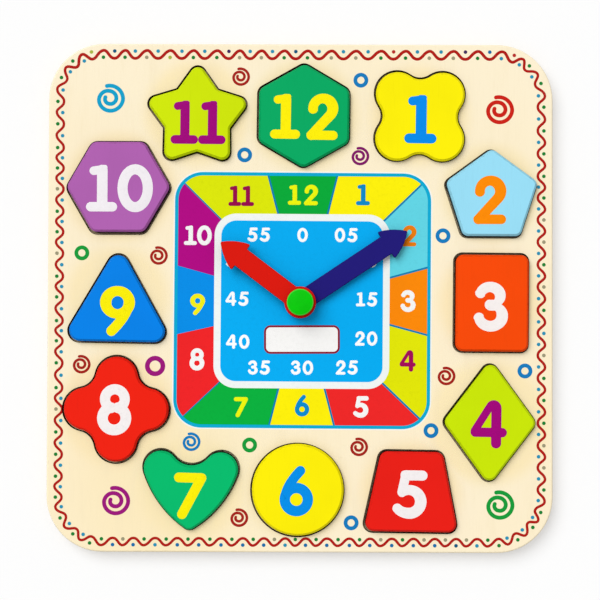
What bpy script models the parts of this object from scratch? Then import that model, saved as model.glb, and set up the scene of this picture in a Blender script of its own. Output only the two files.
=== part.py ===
"""A wooden teaching clock: a square board with twelve lift-out shape blocks and two hands turned by hand.

The units are metres and +Z is up. The board lies on its back with its face up and the place of twelve
o'clock towards +Y. The origin is the middle of the board's underside.

Every flat outline here is a belt: a ring of circles, listed anticlockwise, with a tight belt run round
them. The belt passes outside a circle with side +1 and inside the bend of a circle with side -1. Growing a
belt by a clearance keeps its corners concentric, so a block and its cut-out come from one list of circles.
"""

import math
from collections import namedtuple

import bmesh
import bpy

Circle = namedtuple("Circle", "x y radius side")

# Seats and cuts
SEAT_GAP = 0.0003
CUT_OVERRUN = 0.001
MAX_SAG = 0.00004

# Board
FACE_PANEL_THICKNESS = 0.006
BACK_PANEL_THICKNESS = 0.003
BOARD_CORNER_RADIUS = 0.033
BOARD_EDGE_ROUND = 0.001
SIDE_RIM = 0.0096
TOP_RIM = 0.0121
BOTTOM_RIM = 0.0097
HAND_TIP_CLEARANCE = 0.004

# Blocks
BLOCK_THICKNESS = 0.010
BLOCK_CLEARANCE = 0.0007
BLOCK_TOP_ROUND = 0.0012
BLOCK_FOOT_CHAMFER = 0.0005
ROUND_STEPS = 2

LOBED_SQUARE_LOBE_OFFSET = 0.0189
LOBED_SQUARE_LOBE_RADIUS = 0.0131
LOBED_SQUARE_WAIST_RADIUS = 0.0102
PENTAGON_RADIUS = 0.0288
PENTAGON_CORNER = 0.0041
RECTANGLE_WIDTH = 0.0435
RECTANGLE_HEIGHT = 0.0577
RECTANGLE_CORNER = 0.0045
RHOMBUS_WIDTH = 0.0557
RHOMBUS_HEIGHT = 0.0748
RHOMBUS_CORNER = 0.0048
TRAPEZOID_TOP_WIDTH = 0.0369
TRAPEZOID_BASE_WIDTH = 0.0566
TRAPEZOID_HEIGHT = 0.0478
TRAPEZOID_CORNER = 0.005
CIRCLE_RADIUS = 0.027
HEART_LOBE_OFFSET = 0.0178
HEART_LOBE_RADIUS = 0.0103
HEART_NOTCH_RISE = 0.0151
HEART_TIP_DEPTH = 0.0316
HEART_TIP_RADIUS = 0.0045
HEART_SIDE_RADIUS = 0.0637
CLOVER_LOBE_OFFSET = 0.0188
CLOVER_LOBE_RADIUS = 0.0126
CLOVER_WAIST_RADIUS = 0.0111
TRIANGLE_BASE = 0.0668
TRIANGLE_HEIGHT = 0.0584
TRIANGLE_CORNER = 0.0065
SIDE_HEXAGON_RADIUS = 0.0312
SIDE_HEXAGON_CORNER = 0.0052
STAR_TIP_DISTANCE = 0.0337
STAR_WAIST_DISTANCE = 0.0205
STAR_TIP_RADIUS = 0.0047
STAR_WAIST_RADIUS = 0.002
TOP_HEXAGON_RADIUS = 0.0311
TOP_HEXAGON_CORNER = 0.005

# Wood left between neighbouring blocks along each side of the board
WEB_STAR_TO_HEXAGON = 0.0068
WEB_HEXAGON_TO_LOBED_SQUARE = 0.0148
WEB_PENTAGON_TO_RECTANGLE = 0.0098
WEB_RECTANGLE_TO_RHOMBUS = 0.0074
WEB_CIRCLE_TO_TRAPEZOID = 0.0122
WEB_HEART_TO_CIRCLE = 0.0074
WEB_CLOVER_TO_TRIANGLE = 0.0078
WEB_TRIANGLE_TO_HEXAGON = 0.0123

# How far the boxes of the two blocks at each corner of the board lap, across and up
TOP_LEFT_LAPS = (0.0125, 0.0100)
TOP_RIGHT_LAPS = (0.0108, 0.0068)
BOTTOM_LEFT_LAPS = (0.0153, 0.0081)
BOTTOM_RIGHT_LAPS = (0.0062, 0.0183)

# How far the middle block of each side sits from the board's centre line
TOP_MIDDLE_SHIFT = 0.0017
RIGHT_MIDDLE_DROP = 0.0028
BOTTOM_MIDDLE_SHIFT = 0.0013
LEFT_MIDDLE_RISE = 0.0025

# Hands
HUB_DROP = 0.003
HAND_THICKNESS = 0.003
HAND_SHAFT_WIDTH = 0.0119
HAND_EYE_SWELL = 0.0034
HAND_EYE_FILLET = 0.001
HAND_HEAD_LENGTH = 0.0147
HAND_BARB_OVERHANG = 0.0031
HAND_HEAD_SIDE_RADIUS = 0.034
HAND_TIP_RADIUS = 0.0009
HAND_BARB_RADIUS = 0.0008
HAND_NOTCH_RADIUS = 0.0003
HAND_EDGE_ROUND = 0.0005
MINUTE_HAND_LENGTH = 0.0754
HOUR_HAND_LENGTH = 0.0582
MINUTE_HAND_CLOCKWISE_DEG = 56.2
HOUR_HAND_CLOCKWISE_DEG = 307.0

# Hub
BOLT_RADIUS = 0.0025
BOLT_HEAD_RADIUS = 0.005
BOLT_HEAD_THICKNESS = 0.0014
BOLT_HEAD_ROUND = 0.0005
BOLT_RUNNING_CLEARANCE = 0.0003
REAR_WASHER_RADIUS = 0.0062
REAR_WASHER_THICKNESS = 0.0008
REAR_HOLE_CLEARANCE = 0.0013
LOWER_WASHER_RADIUS = 0.007
LOWER_WASHER_THICKNESS = 0.001
HAND_WASHER_RADIUS = 0.006
HAND_WASHER_THICKNESS = 0.0005
CAP_RADIUS = 0.0078
CAP_THICKNESS = 0.0034
CAP_EDGE_ROUND = 0.0008
CAP_BORE_DEPTH = 0.002
TURNED_STEPS = 36

# How far each block and its cut-out are turned off square, anticlockwise
CUT_OUT_TURNS_DEG = {
    "block_1_lobed_square": -0.7,
    "block_2_pentagon": -0.1,
    "block_3_rectangle": -0.4,
    "block_4_rhombus": -0.7,
    "block_5_trapezoid": -0.8,
    "block_6_circle": 0.0,
    "block_7_heart": -1.5,
    "block_8_clover": -0.6,
    "block_9_triangle": -0.9,
    "block_10_hexagon": 0.0,
    "block_11_star": -0.4,
    "block_12_hexagon": -0.6,
}

# How far some of them sit off their row or column, as shares of the side rim
OFF_LINE_SHARES = {
    "block_1_lobed_square": (0.0, 0.045),
    "block_2_pentagon": (-0.05, 0.0),
    "block_3_rectangle": (-0.015, 0.0),
    "block_4_rhombus": (-0.13, 0.0),
    "block_5_trapezoid": (0.0, -0.07),
    "block_9_triangle": (0.05, 0.0),
    "block_10_hexagon": (0.08, 0.0),
    "block_11_star": (0.0, -0.065),
    "block_12_hexagon": (0.0, 0.065),
}

# Colours, linear
BIRCH = (0.93, 0.80, 0.57)
BIRCH_BACK = (0.78, 0.60, 0.36)
YELLOW = (0.99, 0.86, 0.01)
LIGHT_BLUE = (0.34, 0.72, 0.91)
ORANGE_RED = (0.93, 0.07, 0.005)
YELLOW_GREEN = (0.58, 0.80, 0.005)
RED = (0.82, 0.02, 0.012)
GREEN = (0.004, 0.45, 0.13)
BLUE = (0.003, 0.22, 0.83)
PURPLE = (0.42, 0.12, 0.41)
HAND_BLUE = (0.016, 0.008, 0.16)
HAND_RED = (0.70, 0.012, 0.005)
CAP_GREEN = (0.005, 0.58, 0.008)
STEEL = (0.55, 0.56, 0.58)
NYLON = (0.80, 0.80, 0.77)


def tangent_angle(first, second):
    """The direction of the outward normal on the straight run of belt between two circles."""
    run = math.atan2(second.y - first.y, second.x - first.x)
    distance = math.hypot(second.x - first.x, second.y - first.y)
    lean = (first.side * first.radius - second.side * second.radius) / distance
    return run - math.acos(max(-1.0, min(1.0, lean)))


def arc_steps(radius, sweep):
    """How many chords an arc needs for its sag to stay under the limit."""
    chord_sweep = 2 * math.acos(1 - min(1.0, MAX_SAG / radius))
    return max(1, math.ceil(sweep / chord_sweep - 1e-6))


def arcs(circles):
    """Each circle with the normal's angle where the belt meets it and the angle that the belt stays on it."""
    if len(circles) == 1:
        return [(circles[0], 0.0, math.tau)]
    normals = [tangent_angle(c, circles[(i + 1) % len(circles)]) for i, c in enumerate(circles)]
    found = []
    for i, circle in enumerate(circles):
        sweep = (normals[i] - normals[i - 1]) * circle.side % math.tau
        if math.tau - sweep < 1e-6:
            sweep = 0.0
        found.append((circle, normals[i - 1], sweep))
    return found


def on_circle(circle, angle, growth=0.0):
    """The point of the belt whose normal has the given angle, on one of its circles."""
    reach = circle.side * circle.radius + growth
    return (circle.x + reach * math.cos(angle), circle.y + reach * math.sin(angle))


def belt(circles, growth=0.0):
    """The points of the belt round the circles, anticlockwise, grown outwards by the given length.

    The number of points doesn't depend on the growth, so that belts of one ring can be joined.
    """
    points = []
    for circle, start, sweep in arcs(circles):
        steps = arc_steps(circle.radius, sweep)
        last = steps if sweep < math.tau else steps - 1
        for k in range(last + 1):
            points.append(on_circle(circle, start + circle.side * sweep * k / steps, growth))
    return points


def rounded_polygon(corners, radii):
    """The circles of a polygon whose corners, given anticlockwise, are rounded to the given radii."""
    circles = []
    for i, (x, y) in enumerate(corners):
        before = corners[i - 1]
        after = corners[(i + 1) % len(corners)]
        back = math.atan2(before[1] - y, before[0] - x)
        ahead = math.atan2(after[1] - y, after[0] - x)
        opening = (back - ahead) % math.tau
        side = 1 if opening < math.pi else -1
        half = opening / 2
        distance = side * radii[i] / math.sin(half)
        circles.append(
            Circle(
                x + distance * math.cos(ahead + half),
                y + distance * math.sin(ahead + half),
                radii[i],
                side,
            )
        )
    return circles


def turned_outline(circles, degrees):
    """The circles turned anticlockwise about the origin."""
    cosine = math.cos(math.radians(degrees))
    sine = math.sin(math.radians(degrees))
    return [Circle(c.x * cosine - c.y * sine, c.x * sine + c.y * cosine, c.radius, c.side) for c in circles]


def moved_outline(circles, x, y):
    """The circles carried to a place on the board."""
    return [Circle(c.x + x, c.y + y, c.radius, c.side) for c in circles]


def around(distance, angle):
    """The point at a distance and an angle from the origin."""
    return (distance * math.cos(angle), distance * math.sin(angle))


def regular_polygon(count, radius, first_angle, corner):
    """The circles of a regular polygon with rounded corners."""
    corners = [around(radius, first_angle + math.tau * i / count) for i in range(count)]
    return rounded_polygon(corners, [corner] * count)


def straight_polygon(corners, corner):
    """The circles of a polygon with one radius at all its corners."""
    return rounded_polygon(corners, [corner] * len(corners))


def star_circles():
    """The circles of the five-pointed star, one tip towards +Y."""
    corners = []
    radii = []
    for i in range(5):
        tip_angle = math.pi / 2 + math.tau * i / 5
        corners.append(around(STAR_TIP_DISTANCE, tip_angle))
        radii.append(STAR_TIP_RADIUS)
        corners.append(around(STAR_WAIST_DISTANCE, tip_angle + math.pi / 5))
        radii.append(STAR_WAIST_RADIUS)
    return rounded_polygon(corners, radii)


def four_lobes(lobe_offset, lobe_radius, waist_radius, first_angle):
    """The circles of four round lobes joined by hollow waists."""
    half_pitch = lobe_offset * math.sin(math.pi / 4)
    waist_run = math.sqrt((lobe_radius + waist_radius) ** 2 - half_pitch**2)
    waist_offset = lobe_offset * math.cos(math.pi / 4) + waist_run
    circles = []
    for i in range(4):
        angle = first_angle + math.pi / 2 * i
        circles.append(Circle(*around(lobe_offset, angle), lobe_radius, 1))
        circles.append(Circle(*around(waist_offset, angle + math.pi / 4), waist_radius, -1))
    return circles


def bow_between(first, second, radius):
    """The circle of a bowed side that two convex circles, taken anticlockwise, lie inside and touch."""
    dx = second.x - first.x
    dy = second.y - first.y
    span = math.hypot(dx, dy)
    first_reach = radius - first.radius
    second_reach = radius - second.radius
    along = (first_reach**2 - second_reach**2 + span**2) / (2 * span)
    across = math.sqrt(first_reach**2 - along**2)
    return Circle(
        first.x + (dx * along - dy * across) / span,
        first.y + (dy * along + dx * across) / span,
        radius,
        1,
    )


def heart_circles():
    """The circles of the heart, tip towards -Y, with its box centred on the origin."""
    rise = (HEART_TIP_DEPTH + HEART_TIP_RADIUS - HEART_LOBE_RADIUS) / 2
    right = Circle(HEART_LOBE_OFFSET, rise, HEART_LOBE_RADIUS, 1)
    left = Circle(-HEART_LOBE_OFFSET, rise, HEART_LOBE_RADIUS, 1)
    notch_radius = math.hypot(HEART_LOBE_OFFSET, HEART_NOTCH_RISE) - HEART_LOBE_RADIUS
    notch = Circle(0.0, rise + HEART_NOTCH_RISE, notch_radius, -1)
    tip = Circle(0.0, rise - HEART_TIP_DEPTH, HEART_TIP_RADIUS, 1)
    left_side = bow_between(left, tip, HEART_SIDE_RADIUS)
    right_side = bow_between(tip, right, HEART_SIDE_RADIUS)
    return [right, notch, left, left_side, tip, right_side]


def tapered_box(base_width, top_width, height):
    """The corners of a trapezoid on the origin, anticlockwise from the lower right."""
    top = height / 2
    return [(base_width / 2, -top), (top_width / 2, top), (-top_width / 2, top), (-base_width / 2, -top)]


def centred_box(width, height):
    """The corners of a rectangle on the origin, anticlockwise from the lower right."""
    return tapered_box(width, width, height)


def block_outlines():
    """Each block's circles about its own origin, turned as it lies in the board."""
    side = RHOMBUS_WIDTH / 2
    top = RHOMBUS_HEIGHT / 2
    rhombus = [(side, 0.0), (0.0, top), (-side, 0.0), (0.0, -top)]
    foot = TRIANGLE_BASE / 2
    apex = TRIANGLE_HEIGHT / 2
    triangle = [(foot, -apex), (0.0, apex), (-foot, -apex)]
    rectangle = centred_box(RECTANGLE_WIDTH, RECTANGLE_HEIGHT)
    trapezoid = tapered_box(TRAPEZOID_BASE_WIDTH, TRAPEZOID_TOP_WIDTH, TRAPEZOID_HEIGHT)
    squared = {
        "block_1_lobed_square": four_lobes(
            LOBED_SQUARE_LOBE_OFFSET, LOBED_SQUARE_LOBE_RADIUS, LOBED_SQUARE_WAIST_RADIUS, math.pi / 4
        ),
        "block_2_pentagon": regular_polygon(5, PENTAGON_RADIUS, math.pi / 2, PENTAGON_CORNER),
        "block_3_rectangle": straight_polygon(rectangle, RECTANGLE_CORNER),
        "block_4_rhombus": straight_polygon(rhombus, RHOMBUS_CORNER),
        "block_5_trapezoid": straight_polygon(trapezoid, TRAPEZOID_CORNER),
        "block_6_circle": [Circle(0.0, 0.0, CIRCLE_RADIUS, 1)],
        "block_7_heart": heart_circles(),
        "block_8_clover": four_lobes(CLOVER_LOBE_OFFSET, CLOVER_LOBE_RADIUS, CLOVER_WAIST_RADIUS, 0.0),
        "block_9_triangle": straight_polygon(triangle, TRIANGLE_CORNER),
        "block_10_hexagon": regular_polygon(6, SIDE_HEXAGON_RADIUS, 0.0, SIDE_HEXAGON_CORNER),
        "block_11_star": star_circles(),
        "block_12_hexagon": regular_polygon(6, TOP_HEXAGON_RADIUS, math.pi / 2, TOP_HEXAGON_CORNER),
    }
    return {name: turned_outline(circles, CUT_OUT_TURNS_DEG[name]) for name, circles in squared.items()}


def reaches(circles):
    """How far an outline reaches from its origin to the left, right, bottom and top."""
    points = []
    for circle, start, sweep in arcs(circles):
        turns = [0.0, sweep] + [(math.pi / 2 * k - start) * circle.side % math.tau for k in range(4)]
        points += [on_circle(circle, start + circle.side * turn) for turn in turns if turn <= sweep]
    xs = [x for x, _ in points]
    ys = [y for _, y in points]
    return -min(xs), max(xs), -min(ys), max(ys)


def row_and_column_places(reach):
    """The place of each block's origin with the blocks as close together as their webs and laps allow.

    A row's blocks are set across from its middle one and a column's up and down from its own. Each row is
    then as far out as its corners need, and so is each column.
    """
    left, right, bottom, top = range(4)
    across = {"block_12_hexagon": TOP_MIDDLE_SHIFT, "block_6_circle": -BOTTOM_MIDDLE_SHIFT}
    up = {"block_3_rectangle": -RIGHT_MIDDLE_DROP, "block_9_triangle": LEFT_MIDDLE_RISE}

    def step(places, name, neighbour, web, neighbour_side, own_side):
        """Places a block beside its neighbour in a row or column, the web away from it."""
        sign = 1 if neighbour_side in (right, top) else -1
        distance = reach[neighbour][neighbour_side] + web + reach[name][own_side]
        places[name] = places[neighbour] + sign * distance

    step(across, "block_11_star", "block_12_hexagon", WEB_STAR_TO_HEXAGON, left, right)
    step(across, "block_1_lobed_square", "block_12_hexagon", WEB_HEXAGON_TO_LOBED_SQUARE, right, left)
    step(across, "block_5_trapezoid", "block_6_circle", WEB_CIRCLE_TO_TRAPEZOID, right, left)
    step(across, "block_7_heart", "block_6_circle", WEB_HEART_TO_CIRCLE, left, right)
    step(up, "block_2_pentagon", "block_3_rectangle", WEB_PENTAGON_TO_RECTANGLE, top, bottom)
    step(up, "block_4_rhombus", "block_3_rectangle", WEB_RECTANGLE_TO_RHOMBUS, bottom, top)
    step(up, "block_8_clover", "block_9_triangle", WEB_CLOVER_TO_TRIANGLE, bottom, top)
    step(up, "block_10_hexagon", "block_9_triangle", WEB_TRIANGLE_TO_HEXAGON, top, bottom)

    corners = (
        ("block_11_star", "block_10_hexagon", TOP_LEFT_LAPS, left, top),
        ("block_1_lobed_square", "block_2_pentagon", TOP_RIGHT_LAPS, right, top),
        ("block_7_heart", "block_8_clover", BOTTOM_LEFT_LAPS, left, bottom),
        ("block_5_trapezoid", "block_4_rhombus", BOTTOM_RIGHT_LAPS, right, bottom),
    )
    opposite = {left: right, right: left, bottom: top, top: bottom}
    columns = {left: 0.0, right: 0.0}
    rows = {bottom: 0.0, top: 0.0}
    for in_row, in_column, (lap_across, lap_up), side, end in corners:
        run = reach[in_row][side] + reach[in_column][opposite[side]] - lap_across
        rise = reach[in_row][opposite[end]] + reach[in_column][end] - lap_up
        columns[side] = max(columns[side], abs(across[in_row]) + run)
        rows[end] = max(rows[end], abs(up[in_column]) + rise)
    places = {name: (x, rows[top]) for name, x in across.items()}
    for name in ("block_5_trapezoid", "block_6_circle", "block_7_heart"):
        places[name] = (across[name], -rows[bottom])
    places.update({name: (columns[right], y) for name, y in up.items()})
    for name in ("block_8_clover", "block_9_triangle", "block_10_hexagon"):
        places[name] = (-columns[left], up[name])
    return places


def board_size_and_places(outlines):
    """The board's half width and half height, and the place of each block's origin.

    The hands sweep the middle of the ring of blocks, which is spread where they need more room, and the
    board's rim runs outside it.
    """
    reach = {name: reaches(circles) for name, circles in outlines.items()}
    left, right, bottom, top = range(4)
    places = row_and_column_places(reach)
    for name, (x_share, y_share) in OFF_LINE_SHARES.items():
        x, y = places[name]
        places[name] = (x + x_share * SIDE_RIM, y + y_share * SIDE_RIM)
    free_radius = min(
        math.hypot(x, y + HUB_DROP)
        for name, circles in outlines.items()
        for x, y in belt(moved_outline(circles, *places[name]))
    )
    spread = max(1.0, (MINUTE_HAND_LENGTH + HAND_TIP_CLEARANCE) / free_radius)
    places = {name: (x * spread, y * spread) for name, (x, y) in places.items()}
    half_width = SIDE_RIM + max(
        max(x + reach[name][right], reach[name][left] - x) for name, (x, _) in places.items()
    )
    half_height = max(
        max(y + reach[name][top] + TOP_RIM, reach[name][bottom] - y + BOTTOM_RIM)
        for name, (_, y) in places.items()
    )
    return half_width, half_height, places


def mesh_object(name, bm):
    """A new object in the scene from a finished bmesh, shaded smooth with sharp corners."""
    mesh = bpy.data.meshes.new(name)
    bm.normal_update()
    bm.to_mesh(mesh)
    bm.free()
    mesh.shade_smooth()
    mesh.set_sharp_from_angle(angle=math.radians(40))
    made = bpy.data.objects.new(name, mesh)
    bpy.context.scene.collection.objects.link(made)
    return made


def add_plate(bm, circles, rings):
    """Adds a closed plate to a bmesh: the belt at each (growth, height), joined, with flat faces at the ends."""
    loops = []
    for growth, height in rings:
        loops.append([bm.verts.new((x, y, height)) for x, y in belt(circles, growth)])
    for lower, upper in zip(loops, loops[1:]):
        for i in range(len(lower)):
            k = (i + 1) % len(lower)
            bm.faces.new((lower[i], lower[k], upper[k], upper[i]))
    bm.faces.new(loops[0][::-1])
    bm.faces.new(loops[-1])


def fitting_round(wanted, circles, thickness):
    """The edge round, kept under the smallest convex corner of its outline and the plate's thickness."""
    smallest_corner = min(c.radius for c in circles if c.side > 0)
    return min(wanted, 0.8 * smallest_corner, 0.8 * thickness)


def rounded_rings(low, high, foot_chamfer, top_round):
    """The rings of a plate with a rounded top edge, and a chamfered foot where the chamfer isn't zero."""
    rings = [(0.0, low + foot_chamfer)]
    if foot_chamfer:
        rings.insert(0, (-foot_chamfer, low))
    for i in range(ROUND_STEPS + 1):
        angle = math.pi / 2 * i / ROUND_STEPS
        rings.append((top_round * (math.cos(angle) - 1), high - top_round * (1 - math.sin(angle))))
    return rings


def plate(name, circles, rings):
    """A plate as an object of its own."""
    bm = bmesh.new()
    add_plate(bm, circles, rings)
    return mesh_object(name, bm)


def turned(name, profile, x, y):
    """A piece turned about the upright axis at a place, from the (radius, height) points of its section.

    The section runs up its outer side and down its inner side, so that the faces point outwards.
    """
    bm = bmesh.new()
    rings = []
    for radius, height in profile:
        if radius == 0:
            rings.append([bm.verts.new((0.0, 0.0, height))] * TURNED_STEPS)
        else:
            angles = [math.tau * i / TURNED_STEPS for i in range(TURNED_STEPS)]
            rings.append([bm.verts.new((*around(radius, a), height)) for a in angles])
    closed = profile[0][0] > 0 and profile[-1][0] > 0
    pairs = list(zip(rings, rings[1:] + rings[:1])) if closed else list(zip(rings, rings[1:]))
    for lower, upper in pairs:
        for i in range(TURNED_STEPS):
            k = (i + 1) % TURNED_STEPS
            corners = list(dict.fromkeys((lower[i], lower[k], upper[k], upper[i])))
            bm.faces.new(corners)
    made = mesh_object(name, bm)
    made.location = (x, y, 0.0)
    return made


def ring_profile(inner, outer, low, high):
    """The section of a flat washer."""
    return [(inner, low), (outer, low), (outer, high), (inner, high)]


def cut(target, cutter):
    """Takes the cutter's volume out of the target."""
    cutter.hide_render = True
    cutter.display_type = "WIRE"
    boolean = target.modifiers.new("Cut", "BOOLEAN")
    boolean.operation = "DIFFERENCE"
    boolean.solver = "EXACT"
    boolean.object = cutter


def finish(piece, colour, roughness, metallic=0.0):
    """Gives a piece its own material."""
    material = bpy.data.materials.new(piece.name)
    material.use_nodes = True
    shader = material.node_tree.nodes["Principled BSDF"]
    shader.inputs["Base Color"].default_value = (*colour, 1.0)
    shader.inputs["Roughness"].default_value = roughness
    shader.inputs["Metallic"].default_value = metallic
    piece.data.materials.append(material)


def board_circles(half_width, half_height):
    """The circles of the board's outline."""
    return straight_polygon(centred_box(2 * half_width, 2 * half_height), BOARD_CORNER_RADIUS)


def build_back_panel(circles):
    """The thin panel glued behind, which closes the cut-outs and has a hole round the bolt's head."""
    rings = [(0.0, 0.0), (0.0, BACK_PANEL_THICKNESS)]
    panel = plate("back_panel", circles, rings)
    hole = Circle(0.0, -HUB_DROP, REAR_WASHER_RADIUS + REAR_HOLE_CLEARANCE, 1)
    hole_rings = [(0.0, -CUT_OVERRUN), (0.0, BACK_PANEL_THICKNESS + CUT_OVERRUN)]
    cut(panel, plate("back_panel_cutter", [hole], hole_rings))
    finish(panel, BIRCH_BACK, 0.6)


def build_face_panel(circles, outlines, places, low, high):
    """The face panel, with a cut-out for each block and the bolt's bore."""
    edge_round = fitting_round(BOARD_EDGE_ROUND, circles, FACE_PANEL_THICKNESS)
    panel = plate("face_panel", circles, rounded_rings(low, high, 0.0, edge_round))
    through = [(0.0, low - CUT_OVERRUN), (0.0, high + CUT_OVERRUN)]
    bm = bmesh.new()
    for name, block_circles in outlines.items():
        grown = [(BLOCK_CLEARANCE + growth, height) for growth, height in through]
        add_plate(bm, moved_outline(block_circles, *places[name]), grown)
    add_plate(bm, [Circle(0.0, -HUB_DROP, BOLT_RADIUS + BOLT_RUNNING_CLEARANCE, 1)], through)
    cut(panel, mesh_object("face_panel_cutter", bm))
    finish(panel, BIRCH, 0.45)


def build_blocks(outlines, places, low):
    """The twelve blocks, each in its cut-out, standing proud of the face."""
    colours = {
        "block_1_lobed_square": YELLOW,
        "block_2_pentagon": LIGHT_BLUE,
        "block_3_rectangle": ORANGE_RED,
        "block_4_rhombus": YELLOW_GREEN,
        "block_5_trapezoid": RED,
        "block_6_circle": YELLOW,
        "block_7_heart": GREEN,
        "block_8_clover": RED,
        "block_9_triangle": BLUE,
        "block_10_hexagon": PURPLE,
        "block_11_star": YELLOW_GREEN,
        "block_12_hexagon": GREEN,
    }
    for name, circles in outlines.items():
        foot_chamfer = fitting_round(BLOCK_FOOT_CHAMFER, circles, BLOCK_THICKNESS / 2)
        top_round = fitting_round(BLOCK_TOP_ROUND, circles, BLOCK_THICKNESS / 2)
        block = plate(name, circles, rounded_rings(0.0, BLOCK_THICKNESS, foot_chamfer, top_round))
        block.location = (*places[name], low)
        finish(block, colours[name], 0.4)


def hand_circles(length):
    """The circles of an arrow hand that points to +Y, with its eye on the origin."""
    half_shaft = HAND_SHAFT_WIDTH / 2
    eye_radius = half_shaft + HAND_EYE_SWELL
    fillet_x = half_shaft + HAND_EYE_FILLET
    fillet_y = math.sqrt((eye_radius + HAND_EYE_FILLET) ** 2 - fillet_x**2)
    shoulder = length - HAND_HEAD_LENGTH
    notch_x = half_shaft + HAND_NOTCH_RADIUS
    notch_y = shoulder - HAND_NOTCH_RADIUS
    barb_x = half_shaft + HAND_BARB_OVERHANG - HAND_BARB_RADIUS
    barb_y = shoulder + HAND_BARB_RADIUS
    tip = Circle(0.0, length - HAND_TIP_RADIUS, HAND_TIP_RADIUS, 1)
    right_barb = Circle(barb_x, barb_y, HAND_BARB_RADIUS, 1)
    left_barb = Circle(-barb_x, barb_y, HAND_BARB_RADIUS, 1)
    return [
        Circle(0.0, 0.0, eye_radius, 1),
        Circle(fillet_x, fillet_y, HAND_EYE_FILLET, -1),
        Circle(notch_x, notch_y, HAND_NOTCH_RADIUS, -1),
        right_barb,
        bow_between(right_barb, tip, HAND_HEAD_SIDE_RADIUS),
        tip,
        bow_between(tip, left_barb, HAND_HEAD_SIDE_RADIUS),
        left_barb,
        Circle(-notch_x, notch_y, HAND_NOTCH_RADIUS, -1),
        Circle(-fillet_x, fillet_y, HAND_EYE_FILLET, -1),
    ]


def build_hand(name, length, clockwise_deg, low, colour):
    """One hand, bored for the bolt, its origin on the bolt's axis."""
    circles = hand_circles(length)
    edge_round = fitting_round(HAND_EDGE_ROUND, circles, HAND_THICKNESS)
    hand = plate(name, circles, rounded_rings(0.0, HAND_THICKNESS, 0.0, edge_round))
    bore = [Circle(0.0, 0.0, BOLT_RADIUS + BOLT_RUNNING_CLEARANCE, 1)]
    through = [(0.0, -CUT_OVERRUN), (0.0, HAND_THICKNESS + CUT_OVERRUN)]
    cutter = plate(name + "_cutter", bore, through)
    for piece in (hand, cutter):
        piece.location = (0.0, -HUB_DROP, low)
        piece.rotation_euler = (0.0, 0.0, -math.radians(clockwise_deg))
    cut(hand, cutter)
    finish(hand, colour, 0.4)


def build_hub(face_low, face_high):
    """The bolt from behind, its washers, the two hands on it and the cap that closes the stack."""
    hub = (0.0, -HUB_DROP)
    bore = BOLT_RADIUS + BOLT_RUNNING_CLEARANCE
    rear_high = face_low - SEAT_GAP
    rear_low = rear_high - REAR_WASHER_THICKNESS
    lower_low = face_high + SEAT_GAP
    lower_high = lower_low + LOWER_WASHER_THICKNESS
    minute_low = lower_high + SEAT_GAP
    middle_low = minute_low + HAND_THICKNESS + SEAT_GAP
    hour_low = middle_low + HAND_WASHER_THICKNESS + SEAT_GAP
    upper_low = hour_low + HAND_THICKNESS + SEAT_GAP
    cap_low = upper_low + HAND_WASHER_THICKNESS + SEAT_GAP
    cap_high = cap_low + CAP_THICKNESS
    head_high = rear_low - SEAT_GAP
    head_low = head_high - BOLT_HEAD_THICKNESS
    bolt_high = cap_low + CAP_BORE_DEPTH - SEAT_GAP

    bolt_profile = [
        (0.0, head_low),
        (BOLT_HEAD_RADIUS - BOLT_HEAD_ROUND, head_low),
        (BOLT_HEAD_RADIUS, head_low + BOLT_HEAD_ROUND),
        (BOLT_HEAD_RADIUS, head_high),
        (BOLT_RADIUS, head_high),
        (BOLT_RADIUS, bolt_high),
        (0.0, bolt_high),
    ]
    finish(turned("hub_bolt", bolt_profile, *hub), STEEL, 0.3, 1.0)

    washers = (
        ("hub_washer_rear", REAR_WASHER_RADIUS, rear_low, rear_high, STEEL, 1.0),
        ("hub_washer_lower", LOWER_WASHER_RADIUS, lower_low, lower_high, NYLON, 0.0),
        ("hub_washer_middle", HAND_WASHER_RADIUS, middle_low, middle_low + HAND_WASHER_THICKNESS, NYLON, 0.0),
        ("hub_washer_upper", HAND_WASHER_RADIUS, upper_low, upper_low + HAND_WASHER_THICKNESS, NYLON, 0.0),
    )
    for name, radius, low, high, colour, metallic in washers:
        washer = turned(name, ring_profile(bore, radius, low, high), *hub)
        finish(washer, colour, 0.35, metallic)

    build_hand("minute_hand", MINUTE_HAND_LENGTH, MINUTE_HAND_CLOCKWISE_DEG, minute_low, HAND_BLUE)
    build_hand("hour_hand", HOUR_HAND_LENGTH, HOUR_HAND_CLOCKWISE_DEG, hour_low, HAND_RED)

    cap_profile = [(bore, cap_low), (CAP_RADIUS, cap_low)]
    for i in range(ROUND_STEPS + 1):
        angle = math.pi / 2 * i / ROUND_STEPS
        radius = CAP_RADIUS - CAP_EDGE_ROUND * (1 - math.cos(angle))
        cap_profile.append((radius, cap_high - CAP_EDGE_ROUND * (1 - math.sin(angle))))
    cap_profile.append((0.0, cap_high))
    bore_profile = [(0.0, cap_low + CAP_BORE_DEPTH), (bore, cap_low + CAP_BORE_DEPTH)]
    finish(turned("hub_cap", bore_profile + cap_profile, *hub), CAP_GREEN, 0.35)


def main():
    """Builds the whole clock."""
    for old in list(bpy.data.objects):
        bpy.data.objects.remove(old)
    outlines = block_outlines()
    half_width, half_height, places = board_size_and_places(outlines)
    circles = board_circles(half_width, half_height)
    face_low = BACK_PANEL_THICKNESS + SEAT_GAP
    face_high = face_low + FACE_PANEL_THICKNESS
    build_back_panel(circles)
    build_face_panel(circles, outlines, places, face_low, face_high)
    build_blocks(outlines, places, BACK_PANEL_THICKNESS + SEAT_GAP)
    build_hub(face_low, face_high)
    print("board", round(2 * half_width, 5), "x", round(2 * half_height, 5))


main()
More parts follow.
